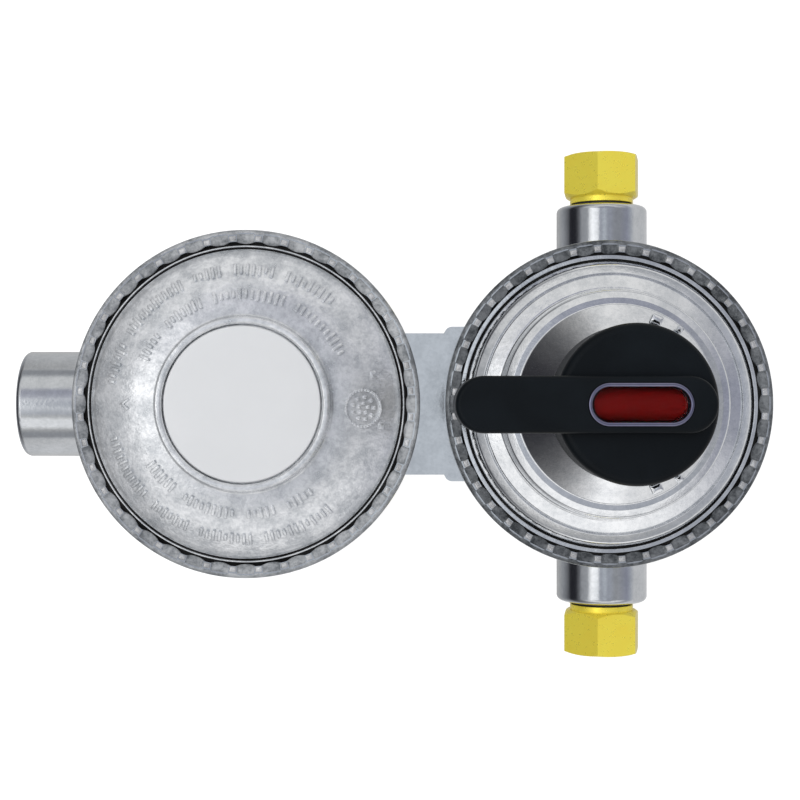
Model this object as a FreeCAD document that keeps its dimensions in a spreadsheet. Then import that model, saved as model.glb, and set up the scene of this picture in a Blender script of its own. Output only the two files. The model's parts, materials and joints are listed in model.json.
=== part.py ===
"""Two-stage automatic-changeover gas regulator, in millimetres.

It lies on the flat backs of its two castings, with both covers facing up (+Z).  X runs from the outlet boss
to the first stage, Y runs through the two inlets, and the origin is under the middle of the whole length.
"""

import FreeCAD, Part
import Sketcher
import math
import os

from FreeCAD import Placement, Rotation, Vector

doc = FreeCAD.newDocument("changeover_regulator")

# ---------------------------------------------------------------- driving dimensions

DRIVING = [
    # alias, value, what it is
    ("half_length", 99.8, "outlet mouth to the origin, and the origin to the far rim"),
    ("first_rim_r", 43.1, "outside of the first stage's rolled rim"),
    ("second_rim_r", 45.8, "outside of the second stage's rolled rim"),
    ("stage_pitch", 95.5, "between the two diaphragm axes"),
    ("port_z", 16.0, "height of every gas port above the back faces"),
    ("floor_z", 3.5, "thickness of the bowls' floors"),
    ("seat_z", 27.0, "ledge that the diaphragms lie on"),
    ("rubber_t", 1.0, "diaphragm thickness"),
    ("flange_t", 2.4, "cover flange thickness"),
    ("rim_wall", 2.4, "rim wall outside the cover flange"),
    ("ledge_w", 4.6, "width of the ledge under the diaphragm's edge"),
    ("lip_t", 1.6, "height of the rolled lip over the flange"),
    ("lip_w", 3.2, "width of the rolled lip"),
    ("roll_w", 4.6, "width of one roller mark in the lip"),
    ("roll_depth", 0.9, "depth of one roller mark in the lip"),
    ("inlet_boss_r", 12.2, "inlet boss radius"),
    ("inlet_boss_end", 53.5, "inlet boss face from the first stage's axis"),
    ("outlet_boss_r", 14.2, "outlet boss radius"),
    ("outlet_r", 8.0, "outlet thread, pitch radius"),
    ("outlet_depth", 16.0, "outlet thread depth"),
    ("neck_w", 37.5, "width of the neck between the stages"),
    ("neck_z", 27.5, "top of the neck"),
    ("collar_w", 41.0, "width of the first stage's mating collar"),
    ("joint_x", 13.5, "mating face of the two castings"),
    ("hex_af", 19.05, "inlet fitting across flats"),
    ("hex_start", 56.0, "inner end of the hexagon from the axis"),
    ("inlet_end", 67.5, "outer face of the inlet fitting from the axis"),
    ("inlet_r", 5.2, "inlet thread, wall radius"),
    ("inlet_depth", 10.0, "inlet thread depth"),
    ("shank_r", 7.2, "inlet fitting's threaded shank"),
    ("barrel_r", 5.2, "inlet fitting's smooth inner barrel"),
    ("pivot_drop", 5.5, "valve lever pivot below the port axis"),
    ("first_pivot", 11.0, "first-stage lever pivots from the axis"),
    ("second_pivot", 18.0, "second-stage lever pivot from the axis"),
    ("tip_gap", 7.5, "valve nozzle tip beyond the lever pivot"),
    ("first_stroke", 3.0, "first-stage diaphragm travel"),
    ("second_stroke", 4.0, "second-stage diaphragm travel"),
    ("relief_stroke", 1.5, "relief valve travel"),
    ("pin_r", 1.0, "lever pin radius"),
    ("holder_r", 4.0, "valve disc holder radius"),
    ("neck_top_z", 60.0, "top face of the first-stage cover"),
    ("knob_z", 60.6, "underside of the selector knob"),
    ("drum_top_z", 77.6, "top of the knob's round drum"),
    ("knob_r", 19.0, "radius of the knob's round drum"),
    ("rib_z", 67.0, "underside of the knob's lever"),
    ("rib_top_z", 82.0, "top of the knob's lever"),
    ("lever_reach", 42.4, "lever tip from the selector axis"),
    ("lever_back", 17.8, "blunt end of the lever from the selector axis"),
    ("lever_w", 13.2, "lever width"),
    ("window_l", 21.2, "clear window length"),
    ("window_w", 8.0, "clear window width"),
    ("bezel_l", 24.4, "window bezel length"),
    ("bezel_w", 10.2, "window bezel width"),
    ("shaft_r", 5.0, "selector shaft radius"),
    ("shaft_top_z", 66.2, "top of the selector shaft"),
    ("rod_r", 1.4, "indicator rod radius"),
    ("flag_r", 4.4, "indicator drum radius"),
    ("flag_z", 75.2, "indicator drum axis"),
    ("slack", 0.05, "radial clearance of a turning or sliding fit"),
    ("mount_pitch", 44.0, "between the two tapped holes in the back"),
    ("mount_r", 2.6, "tapped hole radius in the back"),
    ("mount_depth", 9.0, "depth of the tapped holes"),
    ("cap_r", 20.2, "closing cap radius"),
    ("cap_z", 41.0, "top face of the closing cap"),
]
TEETH = 40  # raised teeth between the roller marks round each rim
HEX_TURN = 13  # degrees that a tightened inlet fitting's hexagon stands off corner-up
BOSS_ROUND = 1.5  # rounding round the end of each boss

sheet = doc.addObject("Spreadsheet::Sheet", "Sizes")
for row, (alias, value, note) in enumerate(DRIVING, 1):
    sheet.set(f"A{row}", note)
    sheet.set(f"B{row}", str(value))
    sheet.setAlias(f"B{row}", alias)
doc.recompute()


class Size:
    """A length: its value, and the spreadsheet expression that drives it."""

    def __init__(self, value, text=None):
        self.value = float(value)
        self.text = repr(float(value)) if text is None else text

    def _with(self, other, sign, value):
        return Size(value, f"({self.text} {sign} {sized(other).text})")

    def __add__(self, other):
        return self._with(other, "+", self.value + sized(other).value)

    def __sub__(self, other):
        return self._with(other, "-", self.value - sized(other).value)

    def __mul__(self, other):
        return self._with(other, "*", self.value * sized(other).value)

    def __truediv__(self, other):
        return self._with(other, "/", self.value / sized(other).value)

    def __radd__(self, other):
        return sized(other) + self

    def __rsub__(self, other):
        return sized(other) - self

    def __rmul__(self, other):
        return sized(other) * self

    def __neg__(self):
        return Size(0) - self


def sized(value):
    return value if isinstance(value, Size) else Size(value)


class Sizes:
    """The spreadsheet's cells by name."""


for alias, value, note in DRIVING:
    setattr(Sizes, alias, Size(value, "Sizes." + alias))
S = Sizes

FIRST_X = S.half_length - S.first_rim_r
SECOND_X = FIRST_X - S.stage_pitch
FLANGE_Z = S.seat_z + S.rubber_t
FLANGE_TOP = FLANGE_Z + S.flange_t
LIP_TOP = FLANGE_TOP + S.lip_t
PIVOT_Z = S.port_z - S.pivot_drop

UP = Rotation()
TO_NORTH = Rotation(Vector(1, 0, 0), -90)  # a part's own axis turned to +Y
TO_SOUTH = Rotation(Vector(1, 0, 0), 90)  # to -Y
TO_RIGHT = Rotation(Vector(0, 1, 0), 90)  # to +X

# ---------------------------------------------------------------- drawing helpers

nodes = {}


def bind(item, prop, size):
    if isinstance(size, Size):
        item.setExpression(prop, size.text)


def put(item, at=(0, 0, 0), turn=UP):
    """Places an object, with its position bound to the sheet."""
    at = [sized(v) for v in at]
    item.Placement = Placement(Vector(*[v.value for v in at]), turn)
    for axis, size in zip("xyz", at):
        bind(item, "Placement.Base." + axis, size)
    return item


def primitive(kind, name, at, turn, **sizes):
    item = doc.addObject("Part::" + kind, name)
    for prop, size in sizes.items():
        setattr(item, prop, sized(size).value)
        bind(item, prop, sized(size))
    return put(item, at, turn)


def cylinder(name, radius, length, at=(0, 0, 0), turn=UP):
    return primitive("Cylinder", name, at, turn, Radius=radius, Height=length)


def torus(name, middle, section, at=(0, 0, 0), turn=UP):
    return primitive("Torus", name, at, turn, Radius1=middle, Radius2=section)


def box(name, x, y, z):
    """A box between two corners, each given as a (low, high) pair."""
    low = [sized(pair[0]) for pair in (x, y, z)]
    high = [sized(pair[1]) for pair in (x, y, z)]
    length, width, height = [b - a for a, b in zip(low, high)]
    return primitive("Box", name, low, UP, Length=length, Width=width, Height=height)


def fuse(name, *items):
    item = doc.addObject("Part::MultiFuse", name)
    item.Shapes = list(items)
    return item


def cut(name, whole, *tools):
    item = doc.addObject("Part::Cut", name)
    item.Base = whole
    item.Tool = tools[0] if len(tools) == 1 else fuse(name + "_tools", *tools)
    return item


def common(name, first, second):
    item = doc.addObject("Part::MultiCommon", name)
    item.Shapes = [first, second]
    return item


def plane(body, role):
    return next(f for f in body.Origin.OriginFeatures if f.Role == role)


def sketch_on(body, name, role="XZ_Plane", height=0):
    """A sketch on one of the body's own origin planes, or that far above it."""
    sketch = body.newObject("Sketcher::SketchObject", name)
    sketch.AttachmentSupport = (plane(body, role), [""])
    sketch.MapMode = "FlatFace"
    height = sized(height)
    sketch.AttachmentOffset = Placement(Vector(0, 0, height.value), Rotation())
    bind(sketch, "AttachmentOffset.Base.z", height)
    return sketch


def hold(sketch, geometry, point, x, y):
    """Fixes one point of a sketch at (x, y) from the sketch's origin, with both distances bound."""
    for kind, axis, size in (("DistanceX", -2, x), ("DistanceY", -1, y)):
        size = sized(size)
        if size.text == repr(0.0):
            sketch.addConstraint(Sketcher.Constraint("PointOnObject", geometry, point, axis))
            continue
        index = sketch.addConstraint(Sketcher.Constraint(kind, -1, 1, geometry, point, size.value))
        bind(sketch, f"Constraints[{index}]", size)


def polygon(sketch, corners):
    """A closed outline of straight lines through the corners."""
    corners = [(sized(x), sized(y)) for x, y in corners]
    start = [Vector(x.value, y.value, 0) for x, y in corners]
    lines = [Part.LineSegment(a, b) for a, b in zip(start, start[1:] + start[:1])]
    first = sketch.addGeometry(lines, False)[0]
    count = len(corners)
    for i in range(count):
        link = Sketcher.Constraint("Coincident", first + i, 2, first + (i + 1) % count, 1)
        sketch.addConstraint(link)
    for i, (x, y) in enumerate(corners):
        hold(sketch, first + i, 1, x, y)


def circle(sketch, radius, x=0, y=0):
    radius, x, y = sized(radius), sized(x), sized(y)
    ring = Part.Circle(Vector(x.value, y.value, 0), Vector(0, 0, 1), radius.value)
    index = sketch.addGeometry(ring, False)
    hold(sketch, index, 3, x, y)
    limit = sketch.addConstraint(Sketcher.Constraint("Radius", index, radius.value))
    bind(sketch, f"Constraints[{limit}]", radius)


def half_disc(sketch, radius, angle):
    """A half disc about the sketch's origin, on the left of a line that runs at that angle in degrees."""
    r = radius.value
    along = Vector(math.cos(math.radians(angle)), math.sin(math.radians(angle)), 0) * r
    across = Vector(-along.y, along.x, 0)
    arc = Part.Arc(along, across, along * -1)
    first = sketch.addGeometry([arc, Part.LineSegment(along * -1, along)], False)[0]
    sketch.addConstraint(Sketcher.Constraint("Coincident", first, 2, first + 1, 1))
    sketch.addConstraint(Sketcher.Constraint("Coincident", first + 1, 2, first, 1))
    sketch.addConstraint(Sketcher.Constraint("Coincident", first, 3, -1, 1))
    sketch.addConstraint(Sketcher.Constraint("PointOnObject", -1, 1, first + 1))
    limit = sketch.addConstraint(Sketcher.Constraint("Radius", first, r))
    bind(sketch, f"Constraints[{limit}]", radius)
    slope = math.radians(angle)
    sketch.addConstraint(Sketcher.Constraint("Angle", first + 1, slope))


def slot(sketch, low, high, width):
    """A stadium outline along X from low to high, as wide as width."""
    low, high, radius = sized(low), sized(high), sized(width) / 2
    a, b, r = low.value + radius.value, high.value - radius.value, radius.value
    up, down = Vector(0, r, 0), Vector(0, -r, 0)
    left, right = Vector(a, 0, 0), Vector(b, 0, 0)
    first = sketch.addGeometry(
        [
            Part.LineSegment(left + down, right + down),
            Part.Arc(right + down, right + Vector(r, 0, 0), right + up),
            Part.LineSegment(right + up, left + up),
            Part.Arc(left + up, left - Vector(r, 0, 0), left + down),
        ],
        False,
    )[0]
    for i in range(4):
        sketch.addConstraint(Sketcher.Constraint("Tangent", first + i, 2, first + (i + 1) % 4, 1))
    hold(sketch, first + 3, 3, low + radius, 0)
    hold(sketch, first + 1, 3, high - radius, 0)
    limit = sketch.addConstraint(Sketcher.Constraint("Radius", first + 1, r))
    bind(sketch, f"Constraints[{limit}]", radius)


def new_body(name):
    return doc.addObject("PartDesign::Body", name)


def revolve(body, sketch, name, kind="Revolution"):
    turn = body.newObject("PartDesign::" + kind, name)
    turn.Profile = sketch
    turn.ReferenceAxis = (sketch, ["V_Axis"])
    turn.Angle = 360
    return turn


def turned(name, outline, at=(0, 0, 0), turn=UP, rounds=()):
    """A body turned about its own axis.

    outline is (radius, height) corners, and rounds is (radius, height, fillet).
    """
    body = new_body(name)
    sketch = sketch_on(body, name + "_outline")
    polygon(sketch, outline)
    revolve(body, sketch, name + "_turn")
    doc.recompute()
    for radius, height, fillet in rounds:
        soften(body, fillet, [circle_at(radius, height)])
    return put(body, at, turn)


def pad(body, sketch, name, length, taper=0):
    item = body.newObject("PartDesign::Pad", name)
    item.Profile = sketch
    length = sized(length)
    item.Length = length.value
    bind(item, "Length", length)
    item.TaperAngle = taper
    return item


def pocket(body, sketch, name, length):
    """Cuts upwards, along the sketch's own normal."""
    item = body.newObject("PartDesign::Pocket", name)
    item.Profile = sketch
    length = sized(length)
    item.Length = length.value
    bind(item, "Length", length)
    item.Reversed = True
    return item


def ring_of(body, feature, sketch, name, count):
    """Repeats a feature round the sketch's normal."""
    pattern = body.newObject("PartDesign::PolarPattern", name)
    pattern.Originals = [feature]
    pattern.Axis = (sketch, ["N_Axis"])
    pattern.Angle = 360
    pattern.Occurrences = count
    body.Tip = pattern
    return pattern


def circle_at(radius, height):
    """A test for a round edge of that radius at that height."""
    radius, height = sized(radius).value, sized(height).value

    def test(edge):
        curve = edge.Curve
        return (
            isinstance(curve, Part.Circle)
            and abs(curve.Radius - radius) < 0.01
            and abs(curve.Center.z - height) < 0.01
        )

    return test


def circle_across(axis, place):
    """A test for a round edge whose middle is at that place along x or y."""

    def test(edge):
        curve = edge.Curve
        return isinstance(curve, Part.Circle) and abs(getattr(curve.Center, axis) - sized(place).value) < 0.01

    return test


def upright_at_x(x):
    """A test for a straight upright edge at that X."""

    def test(edge):
        a, b = [v.Point for v in edge.Vertexes[:2]] if len(edge.Vertexes) > 1 else (Vector(), Vector())
        upright = abs(a.x - b.x) + abs(a.y - b.y) < 0.01 and abs(a.z - b.z) > 1
        return upright and abs(a.x - sized(x).value) < 0.01

    return test


def on_top(height):
    """A test for an edge that lies at that height."""
    return lambda edge: all(abs(v.Point.z - height.value) < 0.01 for v in edge.Vertexes)


def edges_in(shape, tests):
    return [f"Edge{i}" for i, edge in enumerate(shape.Edges, 1) if any(test(edge) for test in tests)]


def soften(body, radius, tests):
    """Fillets every edge that passes one of the tests."""
    doc.recompute()
    tip = body.Tip
    found = edges_in(tip.Shape, tests)
    if not found:
        raise RuntimeError(f"{body.Label}: no edge to round at {radius}")
    item = body.newObject("PartDesign::Fillet", f"{body.Name}_round")
    item.Base = (tip, found)
    radius = sized(radius)
    item.Radius = radius.value
    bind(item, "Radius", radius)
    doc.recompute()
    return item


def node(name, item):
    """Keeps an object as a finished sub-part."""
    item.Label = name
    nodes[name] = item
    return item


def softened(name, base, radius, tests):
    """A fillet over a boolean result, on every edge that passes one of the tests."""
    doc.recompute()
    item = doc.addObject("Part::Fillet", name)
    item.Base = base
    radius = sized(radius).value
    found = edges_in(base.Shape, tests)
    if not found:
        raise RuntimeError(f"{name}: no edge to round")
    item.Edges = [(int(edge[4:]), radius, radius) for edge in found]
    return item


def coil(name, middle, wire, low, high, turns, at):
    """A compression spring between two heights, its middle radius and wire radius given."""
    rise = high - low - 2 * wire
    helix = Part.makeHelix(rise / turns, rise, middle)
    helix.translate(Vector(0, 0, low + wire))
    edge = helix.Edges[0]
    start = edge.valueAt(edge.FirstParameter)
    section = Part.Wire([Part.makeCircle(wire, start, edge.tangentAt(edge.FirstParameter))])
    item = doc.addObject("Part::Feature", name)
    item.Shape = Part.Wire(helix.Edges).makePipeShell([section], True, True)
    return put(item, at)


# ---------------------------------------------------------------- the valves, one design used three times

# A valve is drawn with its port straight ahead (+Y) of the diaphragm's axis, then turned to face its port.
FIRST_HALF_W = 5.3  # half the width of a lever at its pivot
SECOND_HALF_W = 3.2
SEATS = {
    # prefix: stage axis, turn about Z, pivot from the axis, lever half-width
    "north": (FIRST_X, 0, S.first_pivot, FIRST_HALF_W),
    "south": (FIRST_X, 180, S.first_pivot, FIRST_HALF_W),
    "second": (SECOND_X, -90, S.second_pivot, SECOND_HALF_W),
}
TRAVEL = {"north": S.first_stroke, "south": S.first_stroke, "second": S.second_stroke}
ARM_ACROSS = 3.3  # the two first-stage long arms pass each other this far off the middle
ARM_HALF_W = 2.0  # long arm, which lies under the diaphragm
ARM_HALF_T = 0.6
ARM_TIP_R = 1.1
RISE_HALF_W = 1.4  # short arm, which moves the valve disc
BALL_R = 1.0
LEVER_TUBE_R = 2.2
EAR_GAP = 0.3
EAR_T = 2.4
GUIDE_WALL = 2.4
GUIDE_START = 2.6  # guide ring, from here to there beyond the pivot
GUIDE_END = 5.0
TAIL = 2.2  # the disc holder reaches this far behind the pivot
HOLDER_END = 4.8  # and this far beyond it
DISC_R = 3.2
CLOSED_GAP = 0.02  # between disc and nozzle at the end of the travel
FLOOR_BITE = 1.0  # inner posts start this far inside the floor or a wall


def about_z(angle):
    return Rotation(Vector(0, 0, 1), angle)


def valve_tip(pivot):
    return pivot + S.tip_gap


def disc_face(pivot, stroke):
    """The resting place of the rubber disc's face: a valve's travel short of its nozzle."""
    return valve_tip(pivot) - stroke * S.pivot_drop / pivot - CLOSED_GAP


def valve_lever(prefix, across):
    stage_x, angle, pivot, half = SEATS[prefix]
    name = prefix + "_lever"
    low, high = across - ARM_HALF_W, across + ARM_HALF_W
    thin = (PIVOT_Z - ARM_HALF_T, PIVOT_Z + ARM_HALF_T)
    thick = (pivot - ARM_HALF_T, pivot + ARM_HALF_T)
    solid = fuse(
        name + "_solid",
        cylinder(name + "_tube", LEVER_TUBE_R, 2 * half, (-half, pivot, PIVOT_Z), TO_RIGHT),
        box(name + "_long_arm", (low, high), (0, pivot), thin),
        cylinder(name + "_tip", ARM_TIP_R, 2 * ARM_HALF_W, (low, 0, PIVOT_Z), TO_RIGHT),
        box(name + "_short_arm", (-RISE_HALF_W, RISE_HALF_W), thick, (PIVOT_Z, S.port_z)),
        cylinder(name + "_ball", BALL_R, 2 * RISE_HALF_W, (-RISE_HALF_W, pivot, S.port_z), TO_RIGHT),
    )
    start = (-half - 1, pivot, PIVOT_Z)
    bore = cylinder(name + "_bore", S.pin_r + S.slack, 2 * half + 2, start, TO_RIGHT)
    put(node(name, cut(name + "_cut", solid, bore)), (stage_x, 0, 0), about_z(angle))


def valve_pin(prefix):
    stage_x, angle, pivot, half = SEATS[prefix]
    reach = half + EAR_GAP + EAR_T
    name = prefix + "_lever_pin"
    if angle == -90:
        start, turn = (stage_x + pivot, -reach, PIVOT_Z), TO_NORTH
    else:
        side = pivot if angle == 0 else -pivot
        start, turn = (stage_x - reach, side, PIVOT_Z), TO_RIGHT
    node(name, cylinder(name + "_rod", S.pin_r, 2 * reach, start, turn))


def valve_holder(prefix):
    """The sliding disc holder with its slot for the lever's ball, and the rubber disc in its nose."""
    stage_x, angle, pivot, _ = SEATS[prefix]
    name = prefix + "_disc_holder"
    tail, end = pivot - TAIL, pivot + HOLDER_END
    z = S.port_z
    rod = cylinder(name + "_rod", S.holder_r, end - tail, (0, tail, z), TO_NORTH)
    under = box(name + "_under", (-6, 6), (tail - 1, pivot + 1.6), (z - 6, z - 1.1))
    slot_y = (pivot - BALL_R - 0.1, pivot + BALL_R + 0.1)
    slot_half_w = RISE_HALF_W + 0.4
    groove = box(name + "_groove", (-slot_half_w, slot_half_w), slot_y, (z - 6, z + 1.6))
    put(node(name, cut(name + "_cut", rod, under, groove)), (stage_x, 0, 0), about_z(angle))
    face = disc_face(pivot, TRAVEL[prefix])
    disc_at = {0: (stage_x, end, z), 180: (stage_x, -end, z), -90: (stage_x + end, 0, z)}[angle]
    disc_turn = {0: TO_NORTH, 180: TO_SOUTH, -90: TO_RIGHT}[angle]
    node(prefix + "_valve_disc", cylinder(prefix + "_disc", DISC_R, face - end, disc_at, disc_turn))


def valve_seatings(prefix):
    """What a casting holds for its valve: ears for the lever pin, and a ring that guides the disc holder."""
    stage_x, angle, pivot, half = SEATS[prefix]
    name = prefix + "_seating"
    inner, outer = half + EAR_GAP, half + EAR_GAP + EAR_T
    span = (pivot - EAR_T, pivot + EAR_T)
    foot_z = S.floor_z - FLOOR_BITE
    ears = [
        box(f"{name}_ear{side}", sorted((side * inner, side * outer)), span, (foot_z, PIVOT_Z + 2.6))
        for side in (-1, 1)
    ]
    start, long = pivot + GUIDE_START, GUIDE_END - GUIDE_START
    ring = cylinder(name + "_ring", S.holder_r + GUIDE_WALL, long, (0, start, S.port_z), TO_NORTH)
    foot = box(name + "_foot", (-3.4, 3.4), (start, start + long), (foot_z, S.port_z - 5))
    solid = fuse(name, ring, foot, *ears)
    return put(solid, (stage_x, 0, 0), about_z(angle))


def valve_bores(prefix):
    stage_x, angle, pivot, half = SEATS[prefix]
    name = prefix + "_bores"
    reach = half + EAR_GAP + EAR_T
    start = pivot + GUIDE_START - 0.5
    bores = fuse(
        name,
        cylinder(name + "_pin", S.pin_r, 2 * reach + 1, (-reach - 0.5, pivot, PIVOT_Z), TO_RIGHT),
        cylinder(name + "_guide", S.holder_r + S.slack, 3.4, (0, start, S.port_z), TO_NORTH),
    )
    return put(bores, (stage_x, 0, 0), about_z(angle))


# ---------------------------------------------------------------- castings

BOWL_INSET = 3.0  # the bowl's side is this much inside the rim
BOWL_LEAN = 2.5  # and leans in by this much more at the back
BACK_ROUND = 3.0
LIP_BEVEL = 0.9


def bowl_solid(name, stage_x, rim_r):
    """The outside of a bowl with its rolled rim; roller marks leave raised teeth in the lip."""
    body = new_body(name)
    back_r = rim_r - BOWL_INSET - BOWL_LEAN
    outline = [
        (0, 0),
        (back_r, 0),
        (rim_r - BOWL_INSET, S.seat_z - 7),
        (rim_r - 0.6, S.seat_z - 4.5),
        (rim_r, S.seat_z - 3.5),
        (rim_r, LIP_TOP - 1.1),
        (rim_r - LIP_BEVEL, LIP_TOP),
        (0, LIP_TOP),
    ]
    side = sketch_on(body, name + "_outline")
    polygon(side, outline)
    revolve(body, side, name + "_turn")
    soften(body, BACK_ROUND, [circle_at(back_r, 0)])
    mark = sketch_on(body, name + "_mark", "XY_Plane", LIP_TOP - S.roll_depth)
    inner, outer, half = rim_r - S.lip_w - 1, rim_r - LIP_BEVEL - 0.4, S.roll_w / 2
    polygon(mark, [(inner, -half), (outer, -half), (outer, half), (inner, half)])
    roller = pocket(body, mark, name + "_roller", S.roll_depth + 1)
    ring_of(body, roller, mark, name + "_rollers", TEETH)
    return put(body, (stage_x, 0, 0))


def bowl_hollow(name, stage_x, rim_r):
    """The room inside a bowl: the gas space, the cup for the cover's flange, and the mouth of the lip."""
    cup_r = rim_r - S.rim_wall
    space = cylinder(name + "_space", cup_r - S.ledge_w, S.seat_z - S.floor_z, (stage_x, 0, S.floor_z))
    cup = cylinder(name + "_cup", cup_r, FLANGE_TOP - S.seat_z, (stage_x, 0, S.seat_z))
    mouth = cylinder(name + "_mouth", rim_r - S.lip_w, S.lip_t + 1, (stage_x, 0, FLANGE_TOP))
    return fuse(name, space, cup, mouth)


def along_x(name, radius, start, end, y=0, z=None):
    return cylinder(name, radius, end - start, (start, y, S.port_z if z is None else z), TO_RIGHT)


NOZZLE_R = 6.0
DOWEL_R = 2.0
DOWEL_Y = 14.0
DOWEL_DEPTH = 4.5
SEAL_GROOVE = 2.0
COLLAR_FOOT = 1.5


def second_stage_body():
    name = "second_stage_body"
    stage_x, rim_r = SECOND_X, S.second_rim_r
    mouth_x = -S.half_length
    bowl_r = rim_r - S.rim_wall - S.ledge_w
    boss = along_x("outlet_boss", S.outlet_boss_r, mouth_x, stage_x - bowl_r)
    boss = softened("outlet_boss_end", boss, BOSS_ROUND, [circle_across("x", mouth_x)])
    half_w = S.neck_w / 2
    neck = box("neck", (stage_x + bowl_r, S.joint_x), (-half_w, half_w), (2.5, S.neck_z))
    bowl = bowl_solid("second_bowl", stage_x, rim_r)
    outside = fuse("second_outside", bowl, boss, neck)
    hollow = cut("second_shell", outside, bowl_hollow("second_hollow", stage_x, rim_r))
    posts = [
        cylinder(f"mount_post{side}", 6, 8, (stage_x, side * S.mount_pitch / 2, S.floor_z - FLOOR_BITE))
        for side in (-1, 1)
    ]
    inner_boss = along_x("outlet_inner", 9, stage_x - bowl_r - 1, stage_x - bowl_r + 3)
    solid = fuse("second_solid", hollow, inner_boss, valve_seatings("second"), *posts)
    thread_end = mouth_x + S.outlet_depth
    holes = [
        along_x("outlet_thread", S.outlet_r, mouth_x - 1, thread_end),
        along_x("outlet_way", S.outlet_r - 1.6, thread_end - 1, stage_x - bowl_r + 4),
        along_x("neck_bore", NOZZLE_R, stage_x + bowl_r - 3, S.joint_x + 1),
        along_x("neck_groove", 10.4, S.joint_x - SEAL_GROOVE, S.joint_x + 1),
        valve_bores("second"),
    ]
    for side in (-1, 1):
        place = (stage_x, side * S.mount_pitch / 2, -1)
        holes.append(cylinder(f"mount_hole{side}", S.mount_r, S.mount_depth + 1, place))
        start = S.joint_x - DOWEL_DEPTH
        holes.append(along_x(f"neck_dowel{side}", DOWEL_R, start, S.joint_x + 1, side * DOWEL_Y))
    node(name, cut(name + "_cut", solid, *holes))


def first_stage_body():
    name = "first_stage_body"
    stage_x, rim_r = FIRST_X, S.first_rim_r
    bowl_r = rim_r - S.rim_wall - S.ledge_w
    sides = {"north": (1, TO_NORTH), "south": (-1, TO_SOUTH)}
    half_w = S.collar_w / 2
    collar = box("collar", (S.joint_x, stage_x - bowl_r), (-half_w, half_w), (COLLAR_FOOT, S.neck_z))
    collar = softened("collar_round", collar, 2.0, [upright_at_x(S.joint_x)])
    outside = [bowl_solid("first_bowl", stage_x, rim_r), collar]
    inside = [along_x("nozzle_pad", 10, stage_x - bowl_r - 2, stage_x - bowl_r + 2)]
    holes = [along_x("nozzle_hole", NOZZLE_R, S.joint_x - 1, stage_x - bowl_r + 3)]
    for side in (-1, 1):
        end = S.joint_x + DOWEL_DEPTH
        holes.append(along_x(f"collar_dowel{side}", DOWEL_R, S.joint_x - 1, end, side * DOWEL_Y))
    for prefix, (side, turn) in sides.items():
        boss_end = S.inlet_boss_end
        boss_at, stub_at, bore_at, thread_at = [
            (stage_x, side * (bowl_r + shift), S.port_z) for shift in (-1, -9, -10, 1)
        ]
        boss = cylinder(prefix + "_boss", S.inlet_boss_r, boss_end - bowl_r + 1, boss_at, turn)
        boss = softened(prefix + "_boss_end", boss, BOSS_ROUND, [circle_across("y", side * boss_end)])
        outside.append(boss)
        inside.append(cylinder(prefix + "_stub", 8.6, 10, stub_at, turn))
        inside.append(valve_seatings(prefix))
        holes.append(cylinder(prefix + "_barrel_bore", S.barrel_r, 20, bore_at, turn))
        holes.append(cylinder(prefix + "_thread", S.shank_r, boss_end - bowl_r, thread_at, turn))
        holes.append(valve_bores(prefix))
    room = bowl_hollow("first_hollow", stage_x, rim_r)
    hollow = cut("first_shell", fuse("first_outside", *outside), room)
    node(name, cut(name + "_cut", fuse("first_solid", hollow, *inside), *holes))


# ---------------------------------------------------------------- covers and what they hold down

GROOVE = 1.0  # depth of the groove between a cover's flange and its dome


def first_stage_cover():
    """A dome in two steps, whose tower carries the selector shaft."""
    edge_r = S.first_rim_r - S.rim_wall
    flange_r = S.first_rim_r - 4.9
    bore_r = S.shaft_r + S.slack
    bearing = S.neck_top_z - 6  # the shaft's bearing is this deep, and the cam turns under it
    outline = [
        (edge_r, FLANGE_Z),
        (edge_r, FLANGE_TOP),
        (flange_r, FLANGE_TOP),
        (flange_r - 0.25, FLANGE_TOP - GROOVE),
        (flange_r - 0.5, FLANGE_TOP),
        (flange_r - 2.1, 35.3),
        (32.2, 37.3),
        (29.8, 37.8),
        (28.9, 43.2),
        (27.2, 44.4),
        (25.2, 45.0),
        (18.0, 52.6),
        (16.8, S.neck_top_z - 0.6),
        (16.2, S.neck_top_z),
        (bore_r, S.neck_top_z),
        (bore_r, bearing),
        (14.6, bearing),
        (14.6, 52.8),
        (23.4, 42.8),
        (26.4, 41.6),
        (27.4, 35.6),
        (33.4, 33.6),
        (34.8, FLANGE_Z),
    ]
    rounds = [(flange_r - 2.1, 35.3, 1.4), (29.8, 37.8, 0.8), (28.9, 43.2, 0.8), (18.0, 52.6, 1.2)]
    node("first_stage_cover", turned("first_cover", outline, (FIRST_X, 0, 0), UP, rounds))


SCREEN_Z = 38.2  # the vent screen's seat
SCREEN_T = 0.4
BARREL_R = 18.4
BARREL_Z = 33.7  # underside of the threaded barrel, clear of the lifted diaphragm plate
ADJUSTER = (34.4, 37.2)  # underside and top of the adjusting disc
CAP_GAP = 0.35  # between the closing cap and the ring round it
RING_R = 22.5  # outside of that ring
RING_RISE = 0.9  # the ring stands this far over the cap


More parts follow.
